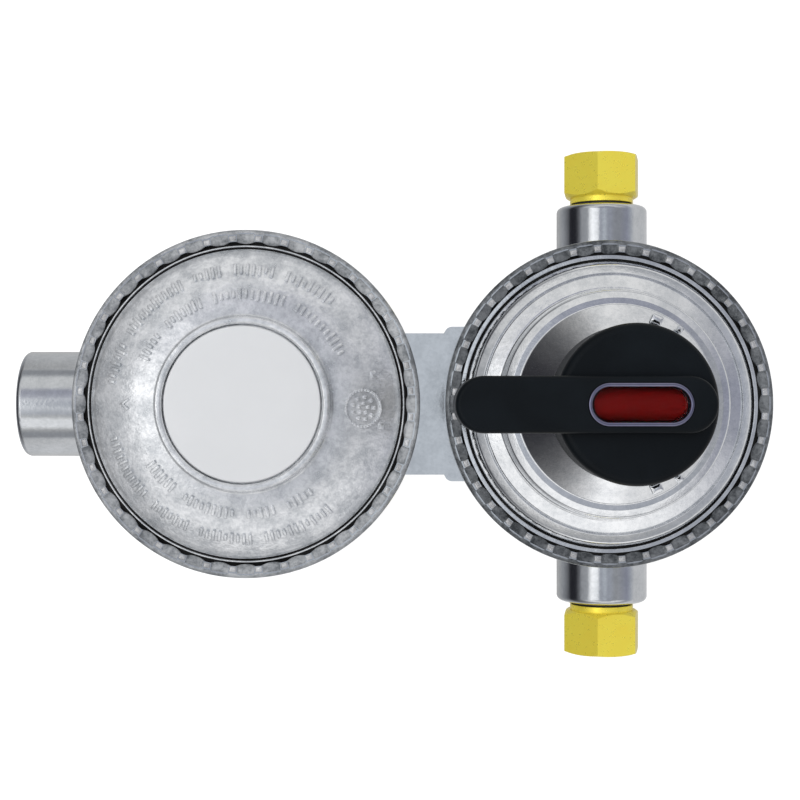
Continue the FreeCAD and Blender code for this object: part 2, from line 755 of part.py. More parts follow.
def second_stage_cover():
    """A shallow cone up to a raised ring, with a threaded barrel for the adjusting disc under the ring."""
    edge_r = S.second_rim_r - S.rim_wall
    flange_r = S.second_rim_r - 4.7
    cap_hole_r = S.cap_r + CAP_GAP
    ring_top = S.cap_z + RING_RISE
    outline = [
        (edge_r, FLANGE_Z),
        (edge_r, FLANGE_TOP),
        (flange_r, FLANGE_TOP),
        (flange_r - 0.25, FLANGE_TOP - GROOVE),
        (flange_r - 0.5, FLANGE_TOP),
        (flange_r - 1.2, 31.9),
        (25.2, 37.4),
        (RING_R + 0.2, 38.8),
        (RING_R, ring_top),
        (cap_hole_r, ring_top),
        (cap_hole_r, SCREEN_Z),
        (BARREL_R, SCREEN_Z),
        (BARREL_R, BARREL_Z),
        (20.6, BARREL_Z),
        (20.6, 35.9),
        (24.0, 35.4),
        (37.4, 30.1),
        (37.4, FLANGE_Z),
    ]
    rounds = [
        (flange_r - 1.2, 31.9, 0.9),
        (RING_R, ring_top, 0.7),
        (RING_R + 0.2, 38.8, 1.2),
        (25.2, 37.4, 2.0),
    ]
    node("second_stage_cover", turned("second_cover", outline, (SECOND_X, 0, 0), UP, rounds))


def washer(name, inner, outer, low, high, stage_x):
    outline = [(inner, low), (outer, low), (outer, high), (inner, high)]
    return node(name, turned(name + "_ring", outline, (stage_x, 0, 0)))


def second_stage_closure():
    """The closing cap on its vent screen, and the adjusting disc that the spring pushes against."""
    foot, under = SCREEN_Z + SCREEN_T, S.cap_z - 1.6  # the cap's rim, and the underside of its middle
    cap = [(0, under), (17.4, under), (17.4, foot), (S.cap_r, foot), (S.cap_r, S.cap_z), (0, S.cap_z)]
    node("closing_cap", turned("cap", cap, (SECOND_X, 0, 0), UP, [(S.cap_r, S.cap_z, 0.5)]))
    washer("vent_screen", 12.0, S.cap_r, SCREEN_Z, foot, SECOND_X)
    body = new_body("adjuster")
    low, high = ADJUSTER
    face = sketch_on(body, "adjuster_outline", "XY_Plane", low)
    circle(face, BARREL_R)
    circle(face, 4.2)
    for side in (-1, 1):
        circle(face, 1.6, side * 11.0)
    pad(body, face, "adjuster_disc", high - low)
    node("adjusting_disc", put(body, (SECOND_X, 0, 0)))


def rubber_sheet(name, stage_x, edge_r, hole_r, loop):
    """A flat rubber diaphragm with one rolled loop in it, from one radius to another."""
    low, high = S.seat_z, FLANGE_Z
    near, far = loop
    inset, rise = 1.3, 1.5
    outline = [
        (hole_r, low),
        (near + 0.5, low),
        (near + inset + 0.4, low + rise),
        (far - inset - 0.4, low + rise),
        (far - 0.5, low),
        (edge_r, low),
        (edge_r, high),
        (far, high),
        (far - inset, high + rise),
        (near + inset, high + rise),
        (near, high),
        (hole_r, high),
    ]
    node(name, turned(name + "_sheet", outline, (stage_x, 0, 0)))


def blade(name, half_x, half_y, low, high, windows):
    """A flat hook plate through which the long arms reach: windows are (x low, x high, z low, z high)."""
    plate = box(name, (-half_x, half_x), (-half_y, half_y), (low, high))
    cuts = [
        box(f"{name}_window{i}", (x0, x1), (-half_y - 1, half_y + 1), (z0, z1))
        for i, (x0, x1, z0, z1) in enumerate(windows)
    ]
    return cut(name + "_cut", plate, *cuts)


PLATE_T = 1.2
PLATE_TOP = FLANGE_Z + PLATE_T
RIVET_TOP = 30.6
STEM_R = 3.0
ARM_PLAY = 0.4  # room beside a long arm in its hook
ARM_ROOM = 1.2  # half the height of a hook's window


def first_stage_diaphragm():
    edge_r = S.first_rim_r - S.rim_wall
    rubber_sheet("first_stage_diaphragm", FIRST_X, edge_r, STEM_R + 0.1, (28.8, 33.4))
    hole_r, plate_r, collar_top = STEM_R + 0.05, 28.2, PLATE_TOP + 2.4
    plate = [
        (hole_r, FLANGE_Z),
        (plate_r, FLANGE_Z),
        (plate_r, PLATE_TOP),
        (7.2, PLATE_TOP),
        (7.2, collar_top),
        (5.2, collar_top),
        (5.2, PLATE_TOP),
        (hole_r, PLATE_TOP),
    ]
    node("first_stage_plate", turned("first_plate", plate, (FIRST_X, 0, 0), UP, [(plate_r, PLATE_TOP, 0.5)]))
    washer_under = S.seat_z - 1.6
    stem = turned(
        "first_stem",
        [
            (0, 13.5),
            (STEM_R, 13.5),
            (STEM_R, washer_under),
            (12.0, washer_under),
            (12.0, S.seat_z),
            (STEM_R, S.seat_z),
            (STEM_R, PLATE_TOP),
            (4.6, PLATE_TOP),
            (3.6, RIVET_TOP),
            (0, RIVET_TOP),
        ],
    )
    gap = (PIVOT_Z - ARM_ROOM, PIVOT_Z + ARM_ROOM)
    low, high = ARM_ACROSS - ARM_HALF_W - ARM_PLAY, ARM_ACROSS + ARM_HALF_W + ARM_PLAY
    hook = blade("first_hook", 6.8, 1.2, 7.2, 14.0, [(low, high, *gap), (-high, -low, *gap)])
    node("first_stage_foot", put(fuse("first_foot", stem, hook), (FIRST_X, 0, 0)))


CUP_R = 12.0
CUP_FLOOR = 19.0
CUP_TOP = CUP_FLOOR + PLATE_T  # upper face of the cup's floor
RELIEF_TOP = 28.6
RELIEF_R = 1.6  # relief stem
NUT_T = 1.4
CAM = (50.4, 53.4)  # underside and top of the selector's cam
CAM_PAD = 1.0  # its pad reaches this much lower


def second_stage_diaphragm():
    edge_r = S.second_rim_r - S.rim_wall
    rubber_sheet("second_stage_diaphragm", SECOND_X, edge_r, CUP_R + 0.1, (28.0, 34.4))
    hole_r, plate_r = 2.4, 27.4
    plate = [
        (hole_r, CUP_FLOOR),
        (CUP_R, CUP_FLOOR),
        (CUP_R, FLANGE_Z),
        (plate_r, FLANGE_Z),
        (plate_r, PLATE_TOP),
        (CUP_R - PLATE_T, PLATE_TOP),
        (CUP_R - PLATE_T, CUP_TOP),
        (hole_r, CUP_TOP),
    ]
    rounds = [(plate_r, PLATE_TOP, 0.5)]
    node("second_stage_plate", turned("second_plate", plate, (SECOND_X, 0, 0), UP, rounds))
    washer("diaphragm_clamp_ring", CUP_R + 0.05, 20.0, S.seat_z - 1.4, S.seat_z, SECOND_X)


def relief_valve():
    """The stem that hooks the lever and, held up by its own spring, seals the hole in the diaphragm's cup."""
    stem_top = RELIEF_TOP + 0.8
    disc_low, disc_high = 16.9, 17.8
    stem = turned(
        "relief_rod",
        [
            (0, 14.5),
            (RELIEF_R, 14.5),
            (RELIEF_R, disc_low),
            (5.4, disc_low),
            (5.4, disc_high),
            (RELIEF_R, disc_high),
            (RELIEF_R, stem_top),
            (0, stem_top),
        ],
    )
    half_w = ARM_HALF_W + ARM_PLAY
    window = (-half_w, half_w, PIVOT_Z - ARM_ROOM, PIVOT_Z + ARM_ROOM + S.relief_stroke)
    hook = blade("relief_hook", 4.2, 1.2, 7.6, 15.0, [window])
    node("relief_stem", put(fuse("relief_whole", stem, hook), (SECOND_X, 0, 0), about_z(-90)))
    washer("relief_seat", RELIEF_R, 5.2, disc_high, CUP_FLOOR, SECOND_X)
    washer("relief_nut", RELIEF_R, 4.6, RELIEF_TOP - NUT_T, RELIEF_TOP, SECOND_X)


def springs():
    items = [
        # name, middle radius, wire radius, low, high, turns, stage axis
        ("first_stage_spring", 9.0, 1.2, PLATE_TOP, CAM[0] - CAM_PAD, 4.5, FIRST_X),
        ("second_stage_spring", 8.4, 0.7, CUP_TOP, ADJUSTER[0], 4.5, SECOND_X),
        ("relief_spring", 3.4, 0.5, CUP_TOP, RELIEF_TOP - NUT_T, 3.0, SECOND_X),
    ]
    for name, middle, wire, low, high, turns, stage_x in items:
        low, high = sized(low).value, sized(high).value
        node(name, coil(name + "_coil", middle, wire, low, high, turns, (stage_x, 0, 0)))


# ---------------------------------------------------------------- inlets and the joint between the castings


def inlet_fitting(prefix, side, turn):
    """A brass fitting: hexagon outside, threaded shank, and the valve nozzle at its inner end."""
    name = prefix + "_inlet_fitting"
    tip, end = valve_tip(S.first_pivot), S.inlet_end
    thread_end = end - S.inlet_depth
    bowl_r = S.first_rim_r - S.rim_wall - S.ledge_w
    boss_end = S.inlet_boss_end
    outline = [
        (1.2, tip),
        (2.0, tip),
        (2.4, tip + 0.8),
        (2.4, tip + 2.6),
        (S.barrel_r, tip + 4),
        (S.barrel_r, bowl_r + 1),
        (S.shank_r, bowl_r + 1),
        (S.shank_r, boss_end + 1),
        (8.5, boss_end + 1),
        (8.5, S.hex_start + 1),
        (8.5, end - 0.2),
        (8.3, end),
        (S.inlet_r, end),
        (S.inlet_r, thread_end),
        (3.0, thread_end - 2),
        (3.0, tip + 6),
        (1.2, tip + 4),
    ]
    core = turned(name + "_core", outline)
    head = doc.addObject("Part::Prism", name + "_head")
    head.Polygon = 6
    corner = S.hex_af / math.sqrt(3)
    head.Circumradius = corner.value
    bind(head, "Circumradius", corner)
    head.Height = (end - S.hex_start).value
    bind(head, "Height", end - S.hex_start)
    put(head, (0, 0, S.hex_start), about_z(30 - side * HEX_TURN))
    # the turned chamfers at both ends of the hexagon, 30 degrees at the inner one
    flat = S.hex_af / 2
    bevel = turned(
        name + "_bevel",
        [
            (7.0, S.hex_start),
            (flat - 0.3, S.hex_start),
            (corner + 0.1, S.hex_start + 1.3),
            (corner + 0.1, end - 0.6),
            (flat, end),
            (7.0, end),
        ],
    )
    whole = fuse(name + "_whole", core, common(name + "_hexagon", head, bevel))
    put(node(name, whole), (FIRST_X, 0, S.port_z), turn)


def inlet_pieces():
    for prefix, side, turn in (("north", 1, TO_NORTH), ("south", -1, TO_SOUTH)):
        inlet_fitting(prefix, side, turn)
        seal_at = (FIRST_X, side * (S.inlet_boss_end + 0.5), S.port_z)
        node(prefix + "_inlet_seal", torus(prefix + "_seal", 7.75, 0.5, seal_at, turn))
        filter_at = (FIRST_X, side * (S.first_pivot + S.tip_gap + 14), S.port_z)
        node(prefix + "_inlet_filter", cylinder(prefix + "_filter", 2.95, 18, filter_at, turn))


def interstage_pieces():
    """The hollow bolt that clamps the castings together and ends in the second stage's nozzle."""
    bowl_r = S.first_rim_r - S.rim_wall - S.ledge_w
    head_x = FIRST_X - bowl_r + 2
    tip_x = SECOND_X + valve_tip(S.second_pivot)
    base = SECOND_X + S.second_rim_r - S.rim_wall - S.ledge_w - 3
    bore = 1.7
    outline = [
        (bore, tip_x),
        (2.3, tip_x),
        (2.8, tip_x + 1),
        (2.8, tip_x + 3),
        (4.8, tip_x + 4.5),
        (4.8, base),
        (NOZZLE_R, base),
        (NOZZLE_R, head_x),
        (8.2, head_x),
        (8.2, head_x + 3.6),
        (7.4, head_x + 4.2),
        (bore + 1.4, head_x + 4.2),
        (bore + 1.4, tip_x + 7),
        (bore, tip_x + 5.6),
    ]
    node("interstage_nozzle", turned("nozzle", outline, (0, 0, S.port_z), TO_RIGHT))
    seal_at = (S.joint_x - 1, 0, S.port_z)
    node("interstage_seal", torus("nozzle_seal", 8.8, 1.0, seal_at, TO_RIGHT))
    start, end = S.joint_x - DOWEL_DEPTH, S.joint_x + DOWEL_DEPTH
    dowels = [along_x(f"dowel{side}", DOWEL_R, start, end, side * DOWEL_Y) for side in (-1, 1)]
    node("joint_dowels", fuse("dowels", *dowels))


# ---------------------------------------------------------------- the selector and its indicator

CAM_R = 13.0
CLIP_GAP = 0.15  # between the cover and the retaining clip
CLIP_T = 0.8
SEAL_GROOVE_T = 1.8
AXLE_R = 0.8
PINION_R = 1.3
FLAG_HALF = 11.0  # half the length of the red and green drum
FLAG_SPLIT = 26  # the halves meet this many degrees round from the drum's level plane
ARM_Z = 66.4  # underside of the rod's arm
POST_X = (11.9, 13.5)  # the rack at the arm's end
BEZEL_Z = 80.4  # underside of the window bezel
ROD_FOOT = 0.05  # the indicator rod stands this far above the rivet head


def knob():
    """A round drum with a lever across it, a recess for the window and a chamber for the indicator."""
    side = [
        (0, S.knob_z),
        (S.knob_r - 0.6, S.knob_z),
        (S.knob_r, S.knob_z + 0.6),
        (S.knob_r, S.drum_top_z),
        (0, S.drum_top_z),
    ]
    drum = turned("knob_drum", side, (0, 0, 0), UP, [(S.knob_r, S.drum_top_z, 2.0)])
    rib = new_body("knob_rib")
    face = sketch_on(rib, "rib_outline", "XY_Plane", S.rib_z)
    slot(face, -S.lever_reach, S.lever_back, S.lever_w)
    pad(rib, face, "rib_pad", S.rib_top_z - S.rib_z)
    soften(rib, 1.2, [on_top(S.rib_top_z)])
    cavity = [
        cylinder("knob_bore", S.shaft_r, S.shaft_top_z - S.knob_z + 1, (0, 0, S.knob_z - 1)),
        cylinder("clip_recess", 7.8, 1.6, (0, 0, S.knob_z - 0.6)),
        along_x("flag_room", S.flag_r + 0.35, -FLAG_HALF - 0.3, FLAG_HALF + 0.3, 0, S.flag_z),
        along_x("flag_bearing", AXLE_R + S.slack, -FLAG_HALF - 1.7, FLAG_HALF + 5, 0, S.flag_z),
        box("rack_room", (FLAG_HALF + 0.2, 14.6), (-3.5, 1.7), (S.shaft_top_z, 79.7)),
        box("arm_room", (-2.0, 14.6), (-3.5, 1.9), (S.shaft_top_z, S.flag_z)),
        slot_block("window_well", S.window_l, S.window_w, S.flag_z, S.rib_top_z + 1),
        slot_block("bezel_well", S.bezel_l, S.bezel_w, BEZEL_Z, S.rib_top_z + 1),
    ]
    whole = cut("knob_cut", fuse("knob_solid", drum, rib), *cavity)
    put(node("selector_knob", whole), (FIRST_X, 0, 0))


def slot_block(name, length, width, low, high):
    body = new_body(name)
    face = sketch_on(body, name + "_outline", "XY_Plane", low)
    slot(face, -length / 2, length / 2, width)
    pad(body, face, name + "_pad", sized(high) - low)
    return body


def window():
    top = S.rib_top_z + 0.15
    outer = slot_block("bezel_outer", S.bezel_l, S.bezel_w, BEZEL_Z, top)
    inner = slot_block("bezel_inner", S.window_l, S.window_w, BEZEL_Z - 1, top + 1)
    put(node("window_bezel", cut("bezel_cut", outer, inner)), (FIRST_X, 0, 0))
    lens = slot_block("lens", S.window_l, S.window_w, BEZEL_Z, S.rib_top_z - 0.3)
    put(node("indicator_window", lens), (FIRST_X, 0, 0))


def selector_shaft():
    """The shaft with its seal, clip and washer, and the cam that loads the spring on the lever's side."""
    low, high = CAM
    groove = S.neck_top_z - 4
    groove_top = groove + SEAL_GROOVE_T
    hole = S.rod_r + S.slack
    clip = S.neck_top_z + CLIP_GAP
    clip_r = 4.2
    outline = [
        (hole, low),
        (S.shaft_r, low),
        (S.shaft_r, groove),
        (3.4, groove),
        (3.4, groove_top),
        (S.shaft_r, groove_top),
        (S.shaft_r, clip),
        (clip_r, clip),
        (clip_r, clip + CLIP_T),
        (S.shaft_r, clip + CLIP_T),
        (S.shaft_r, S.shaft_top_z),
        (hole, S.shaft_top_z),
    ]
    node("selector_shaft", turned("shaft", outline, (FIRST_X, 0, 0)))
    node("shaft_seal", torus("shaft_o_ring", 4.2, 0.78, (FIRST_X, 0, groove + SEAL_GROOVE_T / 2)))
    washer("shaft_clip", clip_r, 7.2, clip, clip + CLIP_T, FIRST_X)
    washer("thrust_washer", S.shaft_r, 12.0, high, high + 0.4, FIRST_X)
    disc = cylinder("cam_disc", CAM_R, high - low, (0, 0, low))
    moon = cylinder("cam_moon", CAM_R, CAM_PAD, (0, 0, low - CAM_PAD))
    half = box("cam_half", (-CAM_R - 1, 0), (-CAM_R - 1, CAM_R + 1), (low - 2, low + 1))
    whole = fuse("cam_whole", disc, common("cam_pad", moon, half))
    bore = cylinder("cam_bore", S.shaft_r, 8, (0, 0, low - 3))
    put(node("selector_cam", cut("cam_cut", whole, bore)), (FIRST_X, 0, 0))


def indicator():
    """The red and green halves on their axle with its pinion, and the rod whose arm carries the rack."""
    for colour, turn in (("red", 0), ("green", 180)):
        body = new_body(colour + "_half")
        face = sketch_on(body, colour + "_outline", "YZ_Plane", -FLAG_HALF)
        half_disc(face, S.flag_r, turn - FLAG_SPLIT)
        pad(body, face, colour + "_pad", 2 * FLAG_HALF)
        core = along_x(f"{colour}_core", AXLE_R, -FLAG_HALF - 1, FLAG_HALF + 1, 0, 0)
        put(node("indicator_" + colour, cut(colour + "_cut", body, core)), (FIRST_X, 0, S.flag_z))
    axle = fuse(
        "axle_whole",
        along_x("axle_rod", AXLE_R, -FLAG_HALF - 1.5, FLAG_HALF + 4.8, 0, 0),
        along_x("axle_pinion", PINION_R, FLAG_HALF + 0.4, 14.2, 0, 0),
    )
    put(node("indicator_axle", axle), (FIRST_X, 0, S.flag_z))
    foot = RIVET_TOP + ROD_FOOT
    rod = fuse(
        "rod_whole",
        cylinder("rod_bar", S.rod_r, ARM_Z + 1.0 - foot, (0, 0, foot)),
        cylinder("rod_foot", 4.0, 1.0, (0, 0, foot)),
        box("rod_arm", (-1.6, POST_X[1]), (-3.0, 1.4), (ARM_Z, ARM_Z + 1.2)),
        box("rod_rack", POST_X, (-3.0, -PINION_R - 0.06), (ARM_Z, S.flag_z + 1.2)),
    )
    put(node("indicator_rod", rod), (FIRST_X, 0, 0))


# ---------------------------------------------------------------- build, test and write

second_stage_body()
first_stage_body()
first_stage_cover()
second_stage_cover()
second_stage_closure()
first_stage_diaphragm()
second_stage_diaphragm()
relief_valve()
springs()
inlet_pieces()
interstage_pieces()
knob()
window()
selector_shaft()
indicator()
for prefix, across in (("north", -ARM_ACROSS), ("south", -ARM_ACROSS), ("second", 0)):
    valve_lever(prefix, across)
    valve_pin(prefix)
    valve_holder(prefix)
doc.recompute()

for item in doc.Objects:
    if "Invalid" in item.State or "Error" in item.State:
        raise RuntimeError(f"{item.Name} did not compute: {item.State}")
for name, item in nodes.items():
    shape = item.Shape
    if shape.isNull() or not shape.isValid() or not shape.Solids:
        raise RuntimeError(f"{name} has no sound solid")

os.makedirs("parts", exist_ok=True)
for name, item in nodes.items():
    item.Shape.exportStep(f"parts/{name}.step")
    print(f"{name}: {len(item.Shape.Solids)} solid(s), {item.Shape.Volume:.1f} mm3")
print(len(nodes), "sub-parts")
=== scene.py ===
"""Looks of the two-stage changeover gas regulator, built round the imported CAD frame.

Lengths are in millimetres inside the drawing helpers and become metres when a mesh is made.
Places come from the boxes of the CAD nodes and from the record's mounts and joints.
"""

import json
import math
import random

import bmesh
import bpy
from mathutils import Matrix, Vector

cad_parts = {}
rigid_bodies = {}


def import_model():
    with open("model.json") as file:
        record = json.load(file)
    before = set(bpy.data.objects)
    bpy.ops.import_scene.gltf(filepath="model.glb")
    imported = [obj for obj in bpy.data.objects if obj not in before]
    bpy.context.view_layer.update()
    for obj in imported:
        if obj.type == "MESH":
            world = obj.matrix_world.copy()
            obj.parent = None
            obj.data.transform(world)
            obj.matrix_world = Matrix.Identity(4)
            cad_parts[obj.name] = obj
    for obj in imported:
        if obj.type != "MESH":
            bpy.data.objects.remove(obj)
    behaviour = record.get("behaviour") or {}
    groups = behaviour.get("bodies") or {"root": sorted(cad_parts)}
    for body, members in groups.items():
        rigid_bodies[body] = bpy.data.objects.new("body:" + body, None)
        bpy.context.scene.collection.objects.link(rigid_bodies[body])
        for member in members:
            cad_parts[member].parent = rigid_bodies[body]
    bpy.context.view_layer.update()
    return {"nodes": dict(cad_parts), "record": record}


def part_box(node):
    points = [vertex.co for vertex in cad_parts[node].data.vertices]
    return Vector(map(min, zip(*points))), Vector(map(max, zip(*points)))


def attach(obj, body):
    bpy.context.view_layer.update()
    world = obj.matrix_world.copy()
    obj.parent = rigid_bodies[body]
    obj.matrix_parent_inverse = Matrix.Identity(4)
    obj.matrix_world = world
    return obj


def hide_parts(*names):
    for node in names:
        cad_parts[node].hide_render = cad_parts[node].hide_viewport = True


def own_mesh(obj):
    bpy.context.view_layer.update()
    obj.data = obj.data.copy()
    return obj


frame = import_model()

MM = 0.001
TAU = 2 * math.pi
UP = Vector((0, 0, 1))


def middle(node):
    """The middle of a node's box, in millimetres."""
    low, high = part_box(node)
    return (low + high) / 2 / MM


def top_of(node):
    """The height of a node's highest point, in millimetres."""
    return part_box(node)[1].z / MM


def radius_of(node):
    """The radius of a round node that stands on a vertical axis, in millimetres."""
    low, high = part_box(node)
    return (high.x - low.x) / 2 / MM


FIRST = middle("first_stage_cover")  # on the first stage's axis
SECOND = middle("second_stage_cover")
RIM_TOP = top_of("first_stage_body")
FLANGE_R = {"first": radius_of("first_stage_cover"), "second": radius_of("second_stage_cover")}
RIM_WALL = 2.4  # rim outside the cover's flange, as in the CAD
FLANGE_TOP = RIM_TOP - 1.6
FLANGE_FOOT = FLANGE_TOP - 2.4
TOWER_TOP = top_of("first_stage_cover")
CAP_TOP = top_of("closing_cap")
CAP_R = radius_of("closing_cap")

# ---------------------------------------------------------------- mesh helpers


def new_object(name, vertices, faces, place, turn=None):
    """A mesh object from millimetre vertices, moved to a place in the row frame."""
    mesh = bpy.data.meshes.new(name)
    turn = turn or Matrix.Identity(3)
    place = Vector(place)
    mesh.from_pydata([tuple((turn @ Vector(v) + place) * MM) for v in vertices], [], faces)
    mesh.update()
    item = bpy.data.objects.new(name, mesh)
    bpy.context.scene.collection.objects.link(item)
    return item


def smooth(item, degrees=35):
    """Smooth shading with creases where faces meet more sharply than this."""
    mesh = item.data
    bm = bmesh.new()
    bm.from_mesh(mesh)
    bmesh.ops.recalc_face_normals(bm, faces=bm.faces)
    limit = math.radians(degrees)
    for face in bm.faces:
        face.smooth = True
    for edge in bm.edges:
        if len(edge.link_faces) == 2:
            edge.smooth = edge.calc_face_angle(0) < limit
    bm.to_mesh(mesh)
    bm.free()
    return item


def arc_corner(before, corner, after, radius, steps):
    """Points of a round corner between two straight runs of a profile."""
    a, c, b = Vector(before), Vector(corner), Vector(after)
    u, v = (a - c).normalized(), (b - c).normalized()
    half = u.angle(v) / 2
    reach = min(radius / math.tan(half), (a - c).length * 0.49, (b - c).length * 0.49)
    radius = reach * math.tan(half)
    centre = c + (u + v).normalized() * (radius / math.sin(half))
    start, end = c + u * reach - centre, c + v * reach - centre
    turn = start.angle_signed(end)
    points = []
    for i in range(steps + 1):
        angle = -turn * i / steps
        x = start.x * math.cos(angle) - start.y * math.sin(angle)
        y = start.x * math.sin(angle) + start.y * math.cos(angle)
        points.append((centre.x + x, centre.y + y))
    return points


CORNER_STEPS = 8


def rounded(profile):
    """A closed profile of (x, y, round) corners with the corners rounded."""
    points = []
    count = len(profile)
    for i, (x, y, radius) in enumerate(profile):
        before, after = profile[i - 1][:2], profile[(i + 1) % count][:2]
        if radius:
            points += arc_corner(before, (x, y), after, radius, CORNER_STEPS)
        else:
            points.append((x, y))
    return points


def lathe(name, profile, place, segments, wave=None):
    """A ring turned from a closed (radius, height) profile.  wave(angle, index, r, z) shifts points."""
    vertices, faces = [], []
    count = len(profile)
    for s in range(segments):
        angle = TAU * s / segments
        for i, (r, z) in enumerate(profile):
            if wave:
                r, z = wave(angle, i, r, z)
            vertices.append((r * math.cos(angle), r * math.sin(angle), z))
    for s in range(segments):
        t = (s + 1) % segments
        for i in range(count):
            j = (i + 1) % count
            faces.append((s * count + i, t * count + i, t * count + j, s * count + j))
    return new_object(name, vertices, faces, place)


def sweep(name, path, section, place, closed=False):
    """A tube whose section (x, y) follows a path of points; the ends of an open path are capped."""
    vertices, faces = [], []
    path = [Vector(p) for p in path]
    total, count = len(path), len(section)
    for i, point in enumerate(path):
        before = path[i - 1] if (i or closed) else path[0]
        after = path[(i + 1) % total] if (i + 1 < total or closed) else path[-1]
        ahead = (after - before).normalized()
        side = ahead.cross(UP).normalized()
        up = side.cross(ahead)
        vertices += [tuple(point + side * x + up * y) for x, y in section]
    runs = total if closed else total - 1
    for i in range(runs):
        k = (i + 1) % total
        for a in range(count):
            b = (a + 1) % count
            faces.append((i * count + a, k * count + a, k * count + b, i * count + b))
    if not closed:
        faces.append(tuple(range(count)))
        faces.append(tuple(range((total - 1) * count, total * count)))
    return new_object(name, vertices, faces, place)


def pillow_block(bm, centre, along, across, up, half_length, half_width, height, round_by):
    """Adds one small raised block with rounded shoulders to a bmesh, standing on centre."""
    levels = [
        # height, inset
        (0.0, 0.0),
        (height - round_by, 0.0),
        (height - 0.3 * round_by, 0.3 * round_by),
        (height, round_by),
    ]
    rings = []
    corner = min(half_length, half_width) * 0.45
    for level, inset in levels:
        ring = []
        a, b, c = half_length - inset, half_width - inset, max(corner - inset, 0.02)
        for sx, sy, start in ((1, 1, 0), (-1, 1, 90), (-1, -1, 180), (1, -1, 270)):
            for step in range(4):
                angle = math.radians(start + 30 * step)
                x = sx * (a - c) + c * math.cos(angle)
                y = sy * (b - c) + c * math.sin(angle)
                ring.append(bm.verts.new((centre + along * x + across * y + up * level) * MM))
        rings.append(ring)
    count = len(rings[0])
    for low, high in zip(rings, rings[1:]):
        for i in range(count):
            bm.faces.new((low[i], low[(i + 1) % count], high[(i + 1) % count], high[i]))
    bm.faces.new(rings[-1])
    bm.faces.new(list(reversed(rings[0])))


def from_bmesh(name, bm):
    """An object from a finished bmesh, which is freed."""
    mesh = bpy.data.meshes.new(name)
    bm.to_mesh(mesh)
    bm.free()
    item = bpy.data.objects.new(name, mesh)
    bpy.context.scene.collection.objects.link(item)
    return item


# ---------------------------------------------------------------- materials


class Nodes:
    """A short way to write a node tree."""

    def __init__(self, tree):
        self.tree = tree
        tree.nodes.clear()

    def add(self, kind, inputs=None, **settings):
        """Adds a node.  A socket among the inputs is linked, and anything else becomes a value."""
        node = self.tree.nodes.new(kind)
        for key, value in settings.items():
            setattr(node, key, value)
        for key, value in (inputs or {}).items():
            if isinstance(value, bpy.types.NodeSocket):
                self.tree.links.new(value, node.inputs[key])
            else:
                node.inputs[key].default_value = value
        return node

    def math(self, operation, a, b=0.0):
        return self.add("ShaderNodeMath", {0: a, 1: b}, operation=operation).outputs[0]

    def vector_math(self, operation, inputs):
        return self.add("ShaderNodeVectorMath", inputs, operation=operation).outputs["Vector"]

    def noise(self, place, scale, detail, rough=0.5):
        inputs = {"Vector": place, "Scale": scale, "Detail": detail, "Roughness": rough}
        return self.add("ShaderNodeTexNoise", inputs).outputs["Fac"]

    def ramp(self, value, stops):
        """A colour ramp of (place, colour) stops."""
        node = self.add("ShaderNodeValToRGB", {"Fac": value})
        ramp = node.color_ramp
        while len(ramp.elements) < len(stops):
            ramp.elements.new(0.5)
        for element, (at, colour) in zip(ramp.elements, stops):
            element.position = at
            element.color = (*colour, 1.0)
        return node.outputs["Color"]

    def bump(self, height, strength, distance, under=None):
        """The normal of a bump, on top of another normal if there is one."""
        inputs = {"Height": height, "Strength": strength, "Distance": distance}
        if under is not None:
            inputs["Normal"] = under
        return self.add("ShaderNodeBump", inputs).outputs["Normal"]


def new_material(name):
    """A material, its node tree and its object coordinates, which every pattern follows."""
    material = bpy.data.materials.new(name)
    material.use_nodes = True
    nodes = Nodes(material.node_tree)
    place = nodes.add("ShaderNodeTexCoord").outputs["Object"]
    return material, nodes, place


def finish_material(nodes, **inputs):
    """Ends a material with the shader; an input's name has underscores for its spaces."""
    inputs = {key.replace("_", " "): value for key, value in inputs.items()}
    shader = nodes.add("ShaderNodeBsdfPrincipled", inputs)
    nodes.add("ShaderNodeOutputMaterial", {"Surface": shader.outputs["BSDF"]})


def spread(nodes, value, low, high):
    """Maps a noise to a range, from low where it is weak to high where it is strong."""
    inputs = {"Value": value, "From Min": 0.3, "From Max": 0.7, "To Min": low, "To Max": high}
    return nodes.add("ShaderNodeMapRange", inputs).outputs["Result"]


def grey(level, blue=0.0):
    return (level - blue, level, level + blue)


def cast_metal(name, dark, light, rough, speckle, ripple, metallic):
    """Tumbled die-cast metal: blotches, fine pits, and a slow ripple that breaks up reflections."""
    material, nodes, place = new_material(name)
    blotch = nodes.noise(place, scale=170, detail=4, rough=0.6)
    grit = nodes.noise(place, scale=900, detail=3, rough=0.7)
    both = nodes.math("ADD", nodes.math("MULTIPLY", blotch, 0.6), nodes.math("MULTIPLY", grit, 0.45))
    colour = nodes.ramp(both, [(0.40, dark), (0.62, light)])
    roughness = spread(nodes, both, rough[1], rough[0])
    pits = nodes.noise(place, scale=1500, detail=2, rough=0.6)
    swell = nodes.noise(place, scale=110, detail=2, rough=0.45)
    normal = nodes.bump(swell, ripple, distance=0.0012)
    normal = nodes.bump(grit, speckle, distance=0.00035, under=normal)
    normal = nodes.bump(pits, speckle * 0.6, distance=0.0002, under=normal)
    finish_material(nodes, Base_Color=colour, Metallic=metallic, Roughness=roughness, Normal=normal)
    return material


